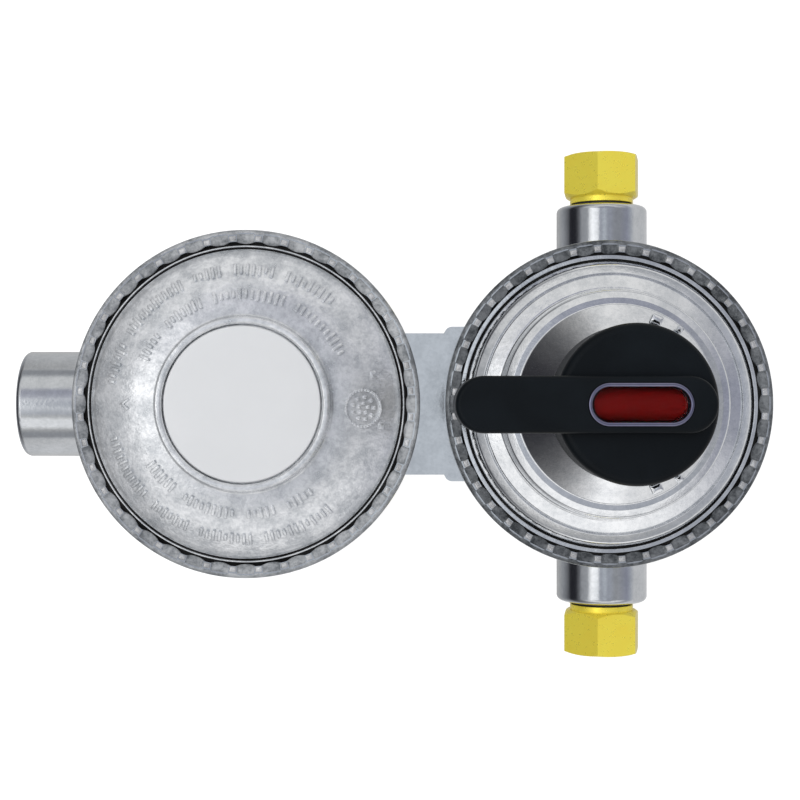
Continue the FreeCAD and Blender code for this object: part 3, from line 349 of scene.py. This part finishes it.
def machined_metal(name, colour, shade, rough, scale, grain, metallic):
    """Turned or drawn metal: an even colour with faint stains and hair-fine scratches."""
    material, nodes, place = new_material(name)
    stain = nodes.noise(place, scale=90, detail=4, rough=0.6)
    tone = nodes.ramp(stain, [(0.35, shade), (0.6, colour)])
    scratch = nodes.noise(place, scale=scale, detail=5, rough=0.75)
    roughness = spread(nodes, scratch, *rough)
    normal = nodes.bump(scratch, grain, distance=0.0003)
    finish_material(nodes, Base_Color=tone, Metallic=metallic, Roughness=roughness, Normal=normal)
    return material


def moulded(name, colour, worn, rough, grain, specular):
    """Moulded plastic or paint: fine grain, with slightly paler, duller patches."""
    material, nodes, place = new_material(name)
    patch = nodes.noise(place, scale=60, detail=4, rough=0.6)
    tone = nodes.ramp(patch, [(0.4, colour), (0.75, worn)])
    grains = nodes.noise(place, scale=2200, detail=2)
    roughness = spread(nodes, patch, *rough)
    normal = nodes.bump(grains, grain, distance=0.00015)
    shader = {"Base_Color": tone, "Roughness": roughness, "Normal": normal}
    finish_material(nodes, Specular_IOR_Level=specular, **shader)
    return material


def clear_plastic(name):
    """The window: clear, with a faint haze."""
    material, nodes, place = new_material(name)
    haze = nodes.noise(place, scale=400, detail=3, rough=0.6)
    clear = (0.98, 0.95, 0.95, 1)
    roughness = spread(nodes, haze, low=0.02, high=0.08)
    inputs = {"Base_Color": clear, "Roughness": roughness, "IOR": 1.12, "Transmission_Weight": 1.0}
    finish_material(nodes, **inputs)
    return material


CAST = {
    # name: dark tone, light tone, roughness, speckle, ripple, metallic
    "die_cast_silver": (grey(0.64, 0.02), grey(0.74, 0.02), (0.11, 0.16), 0.04, 0.02, 1.0),
    "die_cast_bright": (grey(0.76, 0.02), grey(0.95, 0.01), (0.07, 0.16), 0.10, 0.14, 1.0),
    "die_cast_satin": (grey(0.54, 0.02), grey(0.84, 0.01), (0.16, 0.30), 0.26, 0.26, 0.72),
    "cast_part": (grey(0.40), grey(0.60), (0.30, 0.50), 0.30, 0.20, 1.0),
    # first_lip, second_lip and tooth are copies of the rim's die-cast metal with light and shade
    # painted in: the lips darker, the first lip darkest, the teeth lighter than the lips
    "first_lip": (grey(0.05, 0.005), grey(0.20, 0.01), (0.36, 0.50), 0.50, 0.35, 0.45),
    "second_lip": (grey(0.16, 0.01), grey(0.42, 0.01), (0.36, 0.50), 0.50, 0.35, 0.45),
    "tooth": (grey(0.40), grey(0.72), (0.30, 0.45), 0.50, 0.30, 0.75),
}
MACHINED = {
    # name: light tone, dark tone, roughness, scale of the scratches, their strength, metallic
    "brass": ((1.0, 0.85, 0.10), (1.0, 0.80, 0.085), (0.24, 0.38), 700, 0.06, 0.52),
    "sintered_bronze": ((0.52, 0.34, 0.16), (0.36, 0.22, 0.10), (0.5, 0.75), 1800, 0.5, 1.0),
    "bright_steel": (grey(0.66), grey(0.52), (0.18, 0.34), 700, 0.06, 1.0),
    "bezel_chrome": ((0.27, 0.27, 0.37), (0.20, 0.20, 0.30), (0.05, 0.10), 700, 0.06, 1.0),
}
MOULDED = {
    # name: colour, worn colour, roughness, grain, specular level
    # painted shade: near black, standing in for the shadow in grooves and gaps
    "crevice": (grey(0.004), grey(0.02), (0.7, 0.9), 0.3, 0.1),
    "cap_grey": (grey(0.515, 0.006), grey(0.535, 0.006), (0.34, 0.40), 0.03, 0.5),
    "black_plastic": (grey(0.0040, 0.0012), grey(0.0065, 0.002), (0.38, 0.50), 0.06, 0.12),
    "signal_red": ((0.095, 0.001, 0.0006), (0.11, 0.0014, 0.0008), (0.6, 0.7), 0.03, 0.05),
    "signal_green": ((0.01, 0.22, 0.04), (0.02, 0.26, 0.05), (0.4, 0.5), 0.10, 0.5),
    "rubber": (grey(0.015), grey(0.03), (0.5, 0.7), 0.2, 0.5),
}
MATERIALS = {"clear_lens": clear_plastic("clear_lens")}
for make, looks in ((cast_metal, CAST), (machined_metal, MACHINED), (moulded, MOULDED)):
    for look_name, values in looks.items():
        MATERIALS[look_name] = make(look_name, *values)


def dress(item, slot, body, *replaced, look=None):
    """Gives a piece the material of its look, or else of its slot, hangs it on the body it moves with,
    and hides the CAD nodes it stands for.
    """
    item.data.materials.clear()
    item.data.materials.append(MATERIALS[look or slot])
    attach(item, body)
    if replaced:
        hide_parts(*replaced)


SLOTS = {entry["node"]: entry["material_slot"] for entry in frame["record"]["subparts"]}


def dress_frame():
    """Every CAD node takes the procedural material of its slot."""
    for name, item in frame["nodes"].items():
        item.data.materials.clear()
        item.data.materials.append(MATERIALS[SLOTS[name]])


dress_frame()

# ---------------------------------------------------------------- rims, covers and cap

TEETH = 40
STEPS_TO_TOOTH = 20
TOOTH_W = 1.9  # along the lip
TOOTH_IN = 2.35  # from the rim's wall to the middle of a tooth
GAP_SLOPE = 0.6  # length of the slope at each end of a roller mark
MARK_DEPTH = 0.60  # how far the roller pressed the lip down between the teeth
LIP_W = 3.2
SCALLOP = 0.55  # how far the roller pushed the lip's inner edge inwards


def rim_lip(stage, centre):
    """The rolled lip over a cover's flange: a round shoulder, and roller marks between raised teeth."""
    outer = FLANGE_R[stage] + RIM_WALL
    inner = outer - LIP_W
    top = RIM_TOP + 0.06
    pitch = TAU / TEETH
    gap_half = (pitch * outer - TOOTH_W) / 2
    rows = [
        # radius, height, share of the mark's depth, share of the scallop
        (outer - 0.03, top - 1.40, 0, 0),
        (outer - 0.08, top - 0.80, 0, 0),
        (outer - 0.30, top - 0.34, 0, 0),
        (outer - 0.65, top - 0.10, 0, 0),
        (outer - 1.00, top - 0.02, 0.06, 0),
        (outer - 1.30, top - 0.06, 0.14, 0),
        (outer - 1.50, top - 0.12, 0.26, 0),
        (outer - 1.70, top - 0.10, 0.42, 0),
        (inner + 0.55, top - 0.10, 0.80, 0),
        (inner + 0.20, top - 0.20, 1.00, 1),
        (inner + 0.02, top - 0.45, 0.95, 1),
        (inner, top - 0.85, 0.50, 1),
        (inner + 0.04, FLANGE_TOP + 0.02, 0, 1),
        (outer - 2.20, FLANGE_TOP + 0.05, 0, 0),
    ]

    def wave(angle, index, r, z):
        pressed, scalloped = rows[index][2:]
        from_gap = abs((angle + pitch / 2) % pitch - pitch / 2) * outer
        depth = min(max((gap_half - from_gap) / GAP_SLOPE, 0), 1)
        depth = depth * depth * (3 - 2 * depth)
        bulge = max(0.0, 1 - (from_gap / gap_half) ** 2)
        return r - SCALLOP * bulge * scalloped, z - MARK_DEPTH * depth * pressed

    profile = [(r, z) for r, z, _, _ in rows]
    item = lathe(stage + "_rim_lip", profile, (centre.x, centre.y, 0), TEETH * STEPS_TO_TOOTH, wave)
    # painted shade: the lip takes a darker copy of the rim's die-cast metal
    dress(smooth(item, 50), "die_cast_silver", "castings", look=stage + "_lip")
    bm = bmesh.new()
    tooth = {"half_length": 0.72, "half_width": TOOTH_W / 2, "height": 0.66, "round_by": 0.34}
    for i in range(TEETH):
        angle = pitch * (i + 0.5)
        out = Vector((math.cos(angle), math.sin(angle), 0))
        across = Vector((-out.y, out.x, 0))
        foot = Vector((centre.x, centre.y, top - 0.5)) + out * (outer - TOOTH_IN)
        pillow_block(bm, foot, out, across, UP, **tooth)
    item = from_bmesh(stage + "_rim_teeth", bm)
    # the teeth take their own copy of the rim's metal, lighter than the lip's and darker than the
    # rim's: light and shade painted in
    dress(smooth(item, 60), "die_cast_silver", "castings", look="tooth")


ROUND_STEPS = 256  # round each turned cover


def crevice(name, centre, inner, outer, level):
    """Painted shade in the bottom of a groove: a near-black low ring that fills it up to a level, in
    place of the groove's shadow.
    """
    foot = level - 0.6
    profile = [(inner, foot), (outer, foot), (outer, level), (inner, level)]
    item = lathe(name, profile, (centre.x, centre.y, 0), ROUND_STEPS)
    # painted shade: a near-black look in place of the groove's shadow, though the piece is passed the
    # rubber slot
    dress(smooth(item), "rubber", "castings", look="crevice")


rim_lip("first", FIRST)
rim_lip("second", SECOND)


def first_cover():
    """A dome in two steps, with a groove inside its flange, up to the tower for the selector."""
    rim = FLANGE_R["first"] + RIM_WALL
    edge, top = FLANGE_R["first"], FLANGE_TOP
    floor_z = top - 1.5  # of the groove
    bearing_r, bearing_foot = 5.2, TOWER_TOP - 6
    outline = [
        # radius, height, round: flange and groove
        (edge, FLANGE_FOOT, 0),
        (edge, top, 0.2),
        (rim - 4.90, top + 0.10, 0.25),
        (rim - 5.02, floor_z, 0.1),
        (rim - 5.32, floor_z, 0.1),
        (rim - 5.50, top + 0.6, 0.3),
        # lower step, with a fine turned line in it
        (rim - 6.7, 35.0, 1.8),
        (34.0, 36.35, 1.2),
        (33.65, 36.1, 0.1),
        (33.3, 36.5, 0.3),
        (30.3, 37.55, 0.8),
        (29.7, 37.7, 0.4),
        # upper step and tower
        (29.1, 43.6, 1.0),
        (27.0, 44.45, 0.8),
        (25.4, 44.6, 0.9),
        (18.0, 52.6, 1.5),
        (16.8, TOWER_TOP - 0.6, 0.3),
        (16.2, TOWER_TOP, 0.2),
        # bearing and inside
        (bearing_r, TOWER_TOP, 0),
        (bearing_r, bearing_foot, 0),
        (14.6, bearing_foot, 0),
        (22.0, 44.2, 0),
        (25.6, 42.4, 0),
        (27.2, 36.6, 0),
        (33.6, 34.2, 0),
        (35.0, FLANGE_FOOT, 0),
    ]
    item = lathe("first_cover_shell", rounded(outline), (FIRST.x, FIRST.y, 0), ROUND_STEPS)
    dress(smooth(item, 40), "die_cast_bright", "castings", "first_stage_cover")
    # near-black rings of painted shade in the groove inside the flange and in the gap under the rim's
    # lip
    crevice("first_cover_groove_shade", FIRST, inner=rim - 5.45, outer=rim - 4.95, level=top - 0.3)
    crevice("first_cover_gap_shade", FIRST, inner=rim - 3.9, outer=rim - 3.1, level=top + 0.14)


first_cover()

DOME_HEAD = (23.0, 37.3)  # radius and height of the second cover's dome beside the ring
DOME_TOP_R = 24.2  # where the dome meets the ring's fillet
DOME_FOOT_R = 39.9  # where it ends beside the bead's groove
DOME_STEPS = 16
HEAD_SLOPE = 0.087  # slope beside the ring
DOME_BEND = 0.0274  # growth of the slope for each millimetre outwards


def dome_height(r):
    """The dome's height at a radius."""
    run = r - DOME_HEAD[0]
    return DOME_HEAD[1] - HEAD_SLOPE * run - DOME_BEND * run * run / 2


def second_cover():
    """A shallow dome inside a bead, up to the ring round the closing cap."""
    rim = FLANGE_R["second"] + RIM_WALL
    edge, top = FLANGE_R["second"], FLANGE_TOP
    bead_top = top + 0.55
    ring_in, ring_out, ring_top = CAP_R + 0.35, CAP_R + 2.3, CAP_TOP + 0.9
    seat_z, seat_r, hole_foot = 38.2, 18.4, 33.7  # where the cap sits, and the hole under it
    step_r = (DOME_FOOT_R - DOME_TOP_R) / DOME_STEPS
    dome_radii = [DOME_FOOT_R - i * step_r for i in range(DOME_STEPS + 1)]
    outline = [
        # radius, height, round: flange, bead and groove
        (edge, FLANGE_FOOT, 0),
        (edge, top - 0.3, 0.2),
        (rim - 3.95, top - 0.4, 0.15),
        (rim - 4.15, bead_top, 0.25),
        (rim - 4.50, bead_top, 0.25),
        (rim - 4.68, top - 0.6, 0.1),
        (rim - 4.92, top - 0.6, 0.1),
        (rim - 5.15, top + 0.6, 0.4),
        # dome and ring
        *[(r, dome_height(r), 0) for r in dome_radii],
        (ring_out + 0.25, dome_height(ring_out), 0.9),
        (ring_out, ring_top, 0.75),
        (ring_in, ring_top, 0.75),
        # seat and inside
        (ring_in, seat_z, 0),
        (seat_r, seat_z, 0),
        (seat_r, hole_foot, 0),
        (20.6, hole_foot, 0),
        (20.6, 35.9, 0),
        (24.0, 35.4, 0),
        (37.4, 30.1, 0),
        (37.4, FLANGE_FOOT, 0),
    ]
    item = lathe("second_cover_shell", rounded(outline), (SECOND.x, SECOND.y, 0), ROUND_STEPS)
    dress(smooth(item, 40), "die_cast_satin", "castings", "second_stage_cover")
    # near-black rings of painted shade in the groove beside the bead and in the gap under the rim's lip
    crevice("second_cover_groove_shade", SECOND, inner=rim - 5.0, outer=rim - 4.62, level=top + 0.05)
    crevice("second_cover_gap_shade", SECOND, inner=rim - 4.0, outer=rim - 3.2, level=top - 0.1)


second_cover()


def dome_frame(r, angle):
    """A point on the dome, with the directions round it, down it and out of it."""
    tilt = math.atan(HEAD_SLOPE + DOME_BEND * (r - DOME_HEAD[0]))
    out = Vector((math.cos(angle), math.sin(angle), 0))
    round_it = Vector((-out.y, out.x, 0))
    down = out * math.cos(tilt) - UP * math.sin(tilt)
    normal = out * math.sin(tilt) + UP * math.cos(tilt)
    point = Vector((SECOND.x, SECOND.y, dome_height(r))) + out * r
    return point, round_it, down, normal


SINK = 0.15  # raised marks start this far inside the dome
BAR_STRIDE, GROUP_GAP = 1.62, 2.6  # along a row of bars


def cast_marks():
    """Rows of plain upright bars in groups: the rhythm of raised casting marks, with no lettering."""
    draw = random.Random(7)
    bm = bmesh.new()
    rows = [
        # radius, first and last angle in degrees, bar height down the dome
        (35.0, 50, 172, 3.3),
        (28.4, 28, 158, 3.1),
        (35.0, 195, 314, 3.0),
        (28.4, 213, 310, 3.0),
    ]
    for radius, start, end, tall in rows:
        angle = start
        left_in_group = draw.choice((6, 9, 11))
        while angle < end:
            at = radius + draw.uniform(-0.15, 0.15)
            point, round_it, down, normal = dome_frame(at, math.radians(angle))
            half_tall = tall / 2 * draw.choice((1.0, 1.0, 0.8, 0.6))
            base = point - normal * SINK
            bar = {"half_length": 0.44, "half_width": half_tall, "height": 0.95, "round_by": 0.24}
            pillow_block(bm, base, round_it, down, normal, **bar)
            left_in_group -= 1
            step = BAR_STRIDE
            if left_in_group == 0:
                step += GROUP_GAP
                left_in_group = draw.choice((5, 7, 9, 12))
            angle += math.degrees(step / radius)
    item = from_bmesh("cast_marks", bm)
    dress(smooth(item, 40), "die_cast_satin", "castings")


def round_mark():
    """A plain ring of raised dots with more dots inside it, and two pads beside it."""
    bm = bmesh.new()
    point, round_it, down, normal = dome_frame(30.9, math.radians(-2))  # its middle
    rings = [
        # radius, dots, half their length, half their width
        (4.7, 34, 0.46, 0.36),
        (2.9, 9, 0.50, 0.50),
        (1.3, 5, 0.45, 0.45),
    ]
    for ring, count, half_long, half_wide in rings:
        for i in range(count):
            angle = TAU * i / count + ring  # each ring starts at an angle of its own
            out = round_it * math.cos(angle) + down * math.sin(angle)
            tangent = down * math.cos(angle) - round_it * math.sin(angle)
            base = point + out * ring - normal * SINK
            dot = {"half_length": half_long, "half_width": half_wide, "height": 0.85, "round_by": 0.25}
            pillow_block(bm, base, tangent, out, normal, **dot)
    pads = ((13, 34.4), (-9, 36.0))  # degrees round the dome, radius
    pad = {"half_length": 1.0, "half_width": 0.8, "height": 0.7, "round_by": 0.3}
    for degrees, radius in pads:
        spot, round_it, down, normal = dome_frame(radius, math.radians(degrees))
        pillow_block(bm, spot - normal * SINK, round_it, down, normal, **pad)
    item = from_bmesh("round_mark", bm)
    dress(smooth(item, 40), "die_cast_satin", "castings")


def flow_mark():
    """A small raised chevron on the outlet's side of the dome."""
    bm = bmesh.new()
    stroke = {"half_length": 1.4, "half_width": 0.38, "height": 0.75, "round_by": 0.2}
    point, round_it, down, normal = dome_frame(31.6, math.pi)
    for side in (-1, 1):
        along = (down * -0.8 + round_it * side * 0.6).normalized()
        across = normal.cross(along)
        base = point + along * 0.9 - normal * SINK
        pillow_block(bm, base, along, across, normal, **stroke)
    item = from_bmesh("flow_mark", bm)
    dress(smooth(item, 40), "die_cast_satin", "castings")


cast_marks()
round_mark()
flow_mark()

LUG_FOOT = 46.4  # height at which the lugs start, inside the tower's slope


def stop_lugs():
    """A cast lug at the foot of the tower towards either inlet, with a nub beside each."""
    bm = bmesh.new()
    lugs = [
        # angle in degrees, radius, half width round the tower, half depth
        (66, 23.2, 1.6, 1.2),
        (51, 24.2, 0.9, 0.9),
    ]
    for side in (-1, 1):
        for degrees, radius, half_w, half_d in lugs:
            angle = math.radians(degrees * side)
            out = Vector((math.cos(angle), math.sin(angle), 0))
            across = Vector((-out.y, out.x, 0))
            foot = Vector((FIRST.x, FIRST.y, LUG_FOOT)) + out * radius
            pillow_block(bm, foot, across, out, UP, half_w, half_d, height=2.6, round_by=0.88)
    item = from_bmesh("stop_lugs", bm)
    dress(smooth(item, 40), "die_cast_bright", "castings")


stop_lugs()

# ---------------------------------------------------------------- window


def bezel():
    """A half-round bright ring round the window."""
    low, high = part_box("window_bezel")
    inner_low, inner_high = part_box("indicator_window")
    half_w = (high.y - low.y) / 2 / MM
    wall = half_w - (inner_high.y - inner_low.y) / 2 / MM
    straight = (high.x - low.x) / 2 / MM - half_w
    middle_r = half_w - wall / 2
    end_steps, crown_steps = 32, 12
    path = []
    for end in (1, -1):
        for i in range(end_steps + 1):
            angle = math.pi * (i / end_steps - 0.5) + (0 if end > 0 else math.pi)
            path.append((end * straight + middle_r * math.cos(angle), middle_r * math.sin(angle), 0))
    tall = (high.z - low.z) / MM
    rise = min(wall / 2, 0.9)
    section = [(-wall / 2, 0), (wall / 2, 0)]
    for i in range(crown_steps + 1):
        angle = math.pi * i / crown_steps
        section.append((wall / 2 * math.cos(angle), tall - rise + rise * math.sin(angle)))
    place = ((low.x + high.x) / 2 / MM, (low.y + high.y) / 2 / MM, low.z / MM)
    item = sweep("window_bezel_ring", path, section, place, closed=True)
    dress(smooth(item, 50), "bezel_chrome", "selector", "window_bezel")


bezel()

# ---------------------------------------------------------------- springs

COILS = {
    # node: turns, wire radius
    "first_stage_spring": (4.5, 1.2),
    "second_stage_spring": (4.5, 0.7),
    "relief_spring": (3.0, 0.5),
}
TURN_STEPS, WIRE_STEPS = 32, 14


def spring_wire(node):
    """The coil of a spring, which fills the box of its CAD node."""
    turns, wire = COILS[node]
    low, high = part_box(node)
    centre = (low + high) / 2
    middle_r = (high.x - low.x) / 2 / MM - wire
    foot, head = low.z / MM + wire, high.z / MM - wire
    points = int(turns * TURN_STEPS)
    path = []
    for i in range(points + 1):
        angle = TAU * turns * i / points
        height = foot + (head - foot) * i / points
        path.append((middle_r * math.cos(angle), middle_r * math.sin(angle), height))
    angles = [TAU * i / WIRE_STEPS for i in range(WIRE_STEPS)]
    section = [(wire * math.cos(angle), wire * math.sin(angle)) for angle in angles]
    return sweep(node + "_wire", path, section, (centre.x / MM, centre.y / MM, 0))


def springs():
    """The springs, which shorten towards their fixed end when their joint moves."""
    for joint in frame["record"]["behaviour"]["joints"]:
        for entry in joint.get("deforming_nodes", []):
            node = entry["node"]
            if node not in COILS:
                continue
            item = spring_wire(node)
            dress(smooth(item, 50), SLOTS[node], joint["parent"], node)
            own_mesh(item)


springs()

# ---------------------------------------------------------------- ports

THREAD_STEPS = 48  # to the turn


def port_thread(name, port_place, turn, wall_r, depth, pitch):
    """The ridge of an internal thread, standing in from a plain bore; its own axis is the port's."""
    root, crest = wall_r + 0.02, wall_r - pitch * 0.55
    first_level, end_space = -0.6, 1.0  # from the port's mouth, and free of thread at its foot
    section = [
        # radius, height
        (root, -0.46 * pitch),
        (crest, -0.12 * pitch),
        (crest, 0.12 * pitch),
        (root, 0.46 * pitch),
    ]
    points = int((depth - end_space) / pitch) * THREAD_STEPS
    vertices, faces = [], []
    for i in range(points + 1):
        angle = TAU * i / THREAD_STEPS
        level = first_level - pitch * i / THREAD_STEPS
        fade = min(1.0, i / THREAD_STEPS * 2, (points - i) / THREAD_STEPS * 2)  # over half a turn
        for r, z in section:
            r = root + (r - root) * max(fade, 0.02)
            vertices.append((r * math.cos(angle), r * math.sin(angle), level + z))
    count = len(section)
    for i in range(points):
        for a in range(count):
            b = (a + 1) % count
            faces.append((i * count + a, (i + 1) * count + a, (i + 1) * count + b, i * count + b))
    faces.append(tuple(range(count)))
    faces.append(tuple(range(points * count, (points + 1) * count)))
    return new_object(name, vertices, faces, port_place, turn)


TO_NORTH = Matrix.Rotation(-math.pi / 2, 3, "X")
TO_SOUTH = Matrix.Rotation(math.pi / 2, 3, "X")
TO_LEFT = Matrix.Rotation(-math.pi / 2, 3, "Y")
INCH = 25.4


def ports():
    """An internal thread in each port, whose place and size are its mount's."""
    mounts = {mount["name"]: mount for mount in frame["record"]["mounts"]}
    plan = [
        # mount, turn, threads to the inch, material
        ("outlet_port", TO_LEFT, 18, "die_cast_silver"),
        ("north_inlet_port", TO_NORTH, 24, "brass"),
        ("south_inlet_port", TO_SOUTH, 24, "brass"),
    ]
    for name, turn, threads, slot in plan:
        place = Vector(mounts[name]["pos_m"]) / MM
        dims = mounts[name]["dims"]
        pitch = INCH / threads
        item = port_thread(name + "_thread", place, turn, dims["r_mm"], dims["length_mm"], pitch)
        dress(smooth(item, 60), slot, "castings")


ports()

# ---------------------------------------------------------------- floor, light and camera

VIEW_HEIGHT = 412.0  # camera above the back faces
VIEW_SHIFT = (1.7, 1.05)  # camera's place above the frame's x and y axes
LENS, SENSOR_W = 65.25, 36

ZENITH, COOL = (0.66, 0.70, 0.75), (0.40, 0.42, 0.47)
WHITE, PALE, SOFT = (1.5,) * 3, (1.0, 1.0, 1.01), (0.74,) * 3
MILD, DULL, DUSK = (0.64, 0.64, 0.65), (0.46,) * 3, (0.34, 0.35, 0.37)
STEEL, LAVENDER = (0.26, 0.27, 0.30), (0.29, 0.30, 0.37)
DARK, BLACK = (0.14, 0.142, 0.155), (0.02, 0.02, 0.025)
BANDS = {
    # side: (degrees from overhead, colour)
    "right": (
        (0, ZENITH),
        (4, ZENITH),
        (9, STEEL),
        (16, COOL),
        (24, DUSK),
        (38, STEEL),
        (60, LAVENDER),
        (70, COOL),
        (84, MILD),
        (150, MILD),
    ),
    "left": (
        (0, ZENITH),
        (4, ZENITH),
        (9, COOL),
        (14, COOL),
        (17, WHITE),
        (32, WHITE),
        (38, PALE),
        (43, DUSK),
        (60, DUSK),
        (66, DARK),
        (76, BLACK),
        (94, BLACK),
        (102, DARK),
        (125, DUSK),
        (150, DULL),
    ),
    "up": (
        (0, ZENITH),
        (4, ZENITH),
        (10, COOL),
        (20, LAVENDER),
        (32, LAVENDER),
        (39, SOFT),
        (60, SOFT),
        (69, DUSK),
        (78, DUSK),
        (84, SOFT),
        (150, SOFT),
    ),
    "down": (
        (0, ZENITH),
        (4, ZENITH),
        (10, COOL),
        (24, COOL),
        (31, DULL),
        (37, PALE),
        (52, PALE),
        (60, DULL),
        (68, DUSK),
        (78, DUSK),
        (86, PALE),
        (150, PALE),
    ),
}
HORIZON = 0.1  # height of a ray below which the left and right bands spread widest
SPREAD_LOW, SPREAD_RISE = 0.1, 4.0  # weight of the up and down bands there, and its growth


def sky():
    """A studio of soft boxes and dark flags: brightness against tilt from overhead, on four sides."""
    world = bpy.data.worlds.new("studio")
    bpy.context.scene.world = world
    world.use_nodes = True
    nodes = Nodes(world.node_tree)
    ray = nodes.add("ShaderNodeTexCoord").outputs["Generated"]
    x, y, z = nodes.add("ShaderNodeSeparateXYZ", {0: ray}).outputs
    tilt = nodes.math("DIVIDE", nodes.math("ARCCOSINE", z), math.pi)
    above = nodes.math("MAXIMUM", nodes.math("SUBTRACT", z, HORIZON), 0.0)
    stretch = nodes.math("ADD", nodes.math("MULTIPLY", above, SPREAD_RISE), SPREAD_LOW)
    across_2 = nodes.math("MULTIPLY", x, x)
    along_2 = nodes.math("MULTIPLY", nodes.math("MULTIPLY", y, y), stretch)
    flat = nodes.math("MAXIMUM", nodes.math("ADD", across_2, along_2), 1e-5)
    colour = None
    for side, along, sign in (("right", x, 1.0), ("left", x, -1.0), ("up", y, 1.0), ("down", y, -1.0)):
        reach = nodes.math("MAXIMUM", nodes.math("MULTIPLY", along, sign), 0.0)
        square = nodes.math("MULTIPLY", reach, reach)
        if along is y:
            square = nodes.math("MULTIPLY", square, stretch)
        weight = nodes.math("DIVIDE", square, flat)
        light = nodes.ramp(tilt, [(degrees / 180, tone) for degrees, tone in BANDS[side]])
        share = nodes.vector_math("SCALE", {0: light, 3: weight})
        colour = share if colour is None else nodes.vector_math("ADD", {0: colour, 1: share})
    studio = nodes.add("ShaderNodeBackground", {"Color": colour}).outputs[0]
    plain = nodes.add("ShaderNodeBackground", {"Color": (1, 1, 1, 1)}).outputs[0]
    seen = nodes.add("ShaderNodeLightPath").outputs["Is Camera Ray"]
    both = nodes.add("ShaderNodeMixShader", {0: seen, 1: studio, 2: plain}).outputs[0]
    nodes.add("ShaderNodeOutputWorld", {"Surface": both})


FLOOR_HALF = 3.0  # metres
FLOOR_GLOW = 0.86  # seen by the camera only, so the floor stays pale without lighting the metal


def floor():
    """A plain pale floor at the height of the back faces."""
    mesh = bpy.data.meshes.new("floor")
    corners = [(-1, -1), (1, -1), (1, 1), (-1, 1)]
    vertices = [(x * FLOOR_HALF, y * FLOOR_HALF, 0) for x, y in corners]
    mesh.from_pydata(vertices, [], [(0, 1, 2, 3)])
    item = bpy.data.objects.new("floor", mesh)
    bpy.context.scene.collection.objects.link(item)
    material, nodes, place = new_material("floor_paper")
    mottle = nodes.noise(place, scale=3, detail=2)
    tone = nodes.ramp(mottle, [(0.3, grey(0.28)), (0.7, grey(0.30))])
    seen = nodes.add("ShaderNodeLightPath").outputs["Is Camera Ray"]
    glow = {
        "Emission_Color": (1, 1, 1, 1),
        "Emission_Strength": nodes.math("MULTIPLY", seen, FLOOR_GLOW),
    }
    finish_material(nodes, Base_Color=tone, Roughness=0.9, Specular_IOR_Level=0.0, **glow)
    mesh.materials.append(material)
    item.visible_glossy = False


def overhead_light():
    """One soft square light, aimed at the object and left out of its reflections."""
    place = Vector((-0.25, 0.15, 0.9))  # metres
    light = bpy.data.lights.new("overhead", "AREA")
    light.shape = "RECTANGLE"
    light.size = light.size_y = 0.9
    light.energy = 9.0
    item = bpy.data.objects.new("overhead", light)
    bpy.context.scene.collection.objects.link(item)
    item.location = place
    item.rotation_euler = (-place).to_track_quat("-Z", "Y").to_euler()
    item.visible_glossy = False


def camera():
    """The camera looks straight down at the covers."""
    data = bpy.data.cameras.new("camera")
    data.sensor_width = SENSOR_W
    data.lens = LENS
    data.clip_start = 0.01
    item = bpy.data.objects.new("camera", data)
    bpy.context.scene.collection.objects.link(item)
    item.location = Vector((*VIEW_SHIFT, VIEW_HEIGHT)) * MM
    bpy.context.scene.camera = item


sky()
floor()
overhead_light()
camera()
bpy.context.scene.view_settings.view_transform = "Standard"
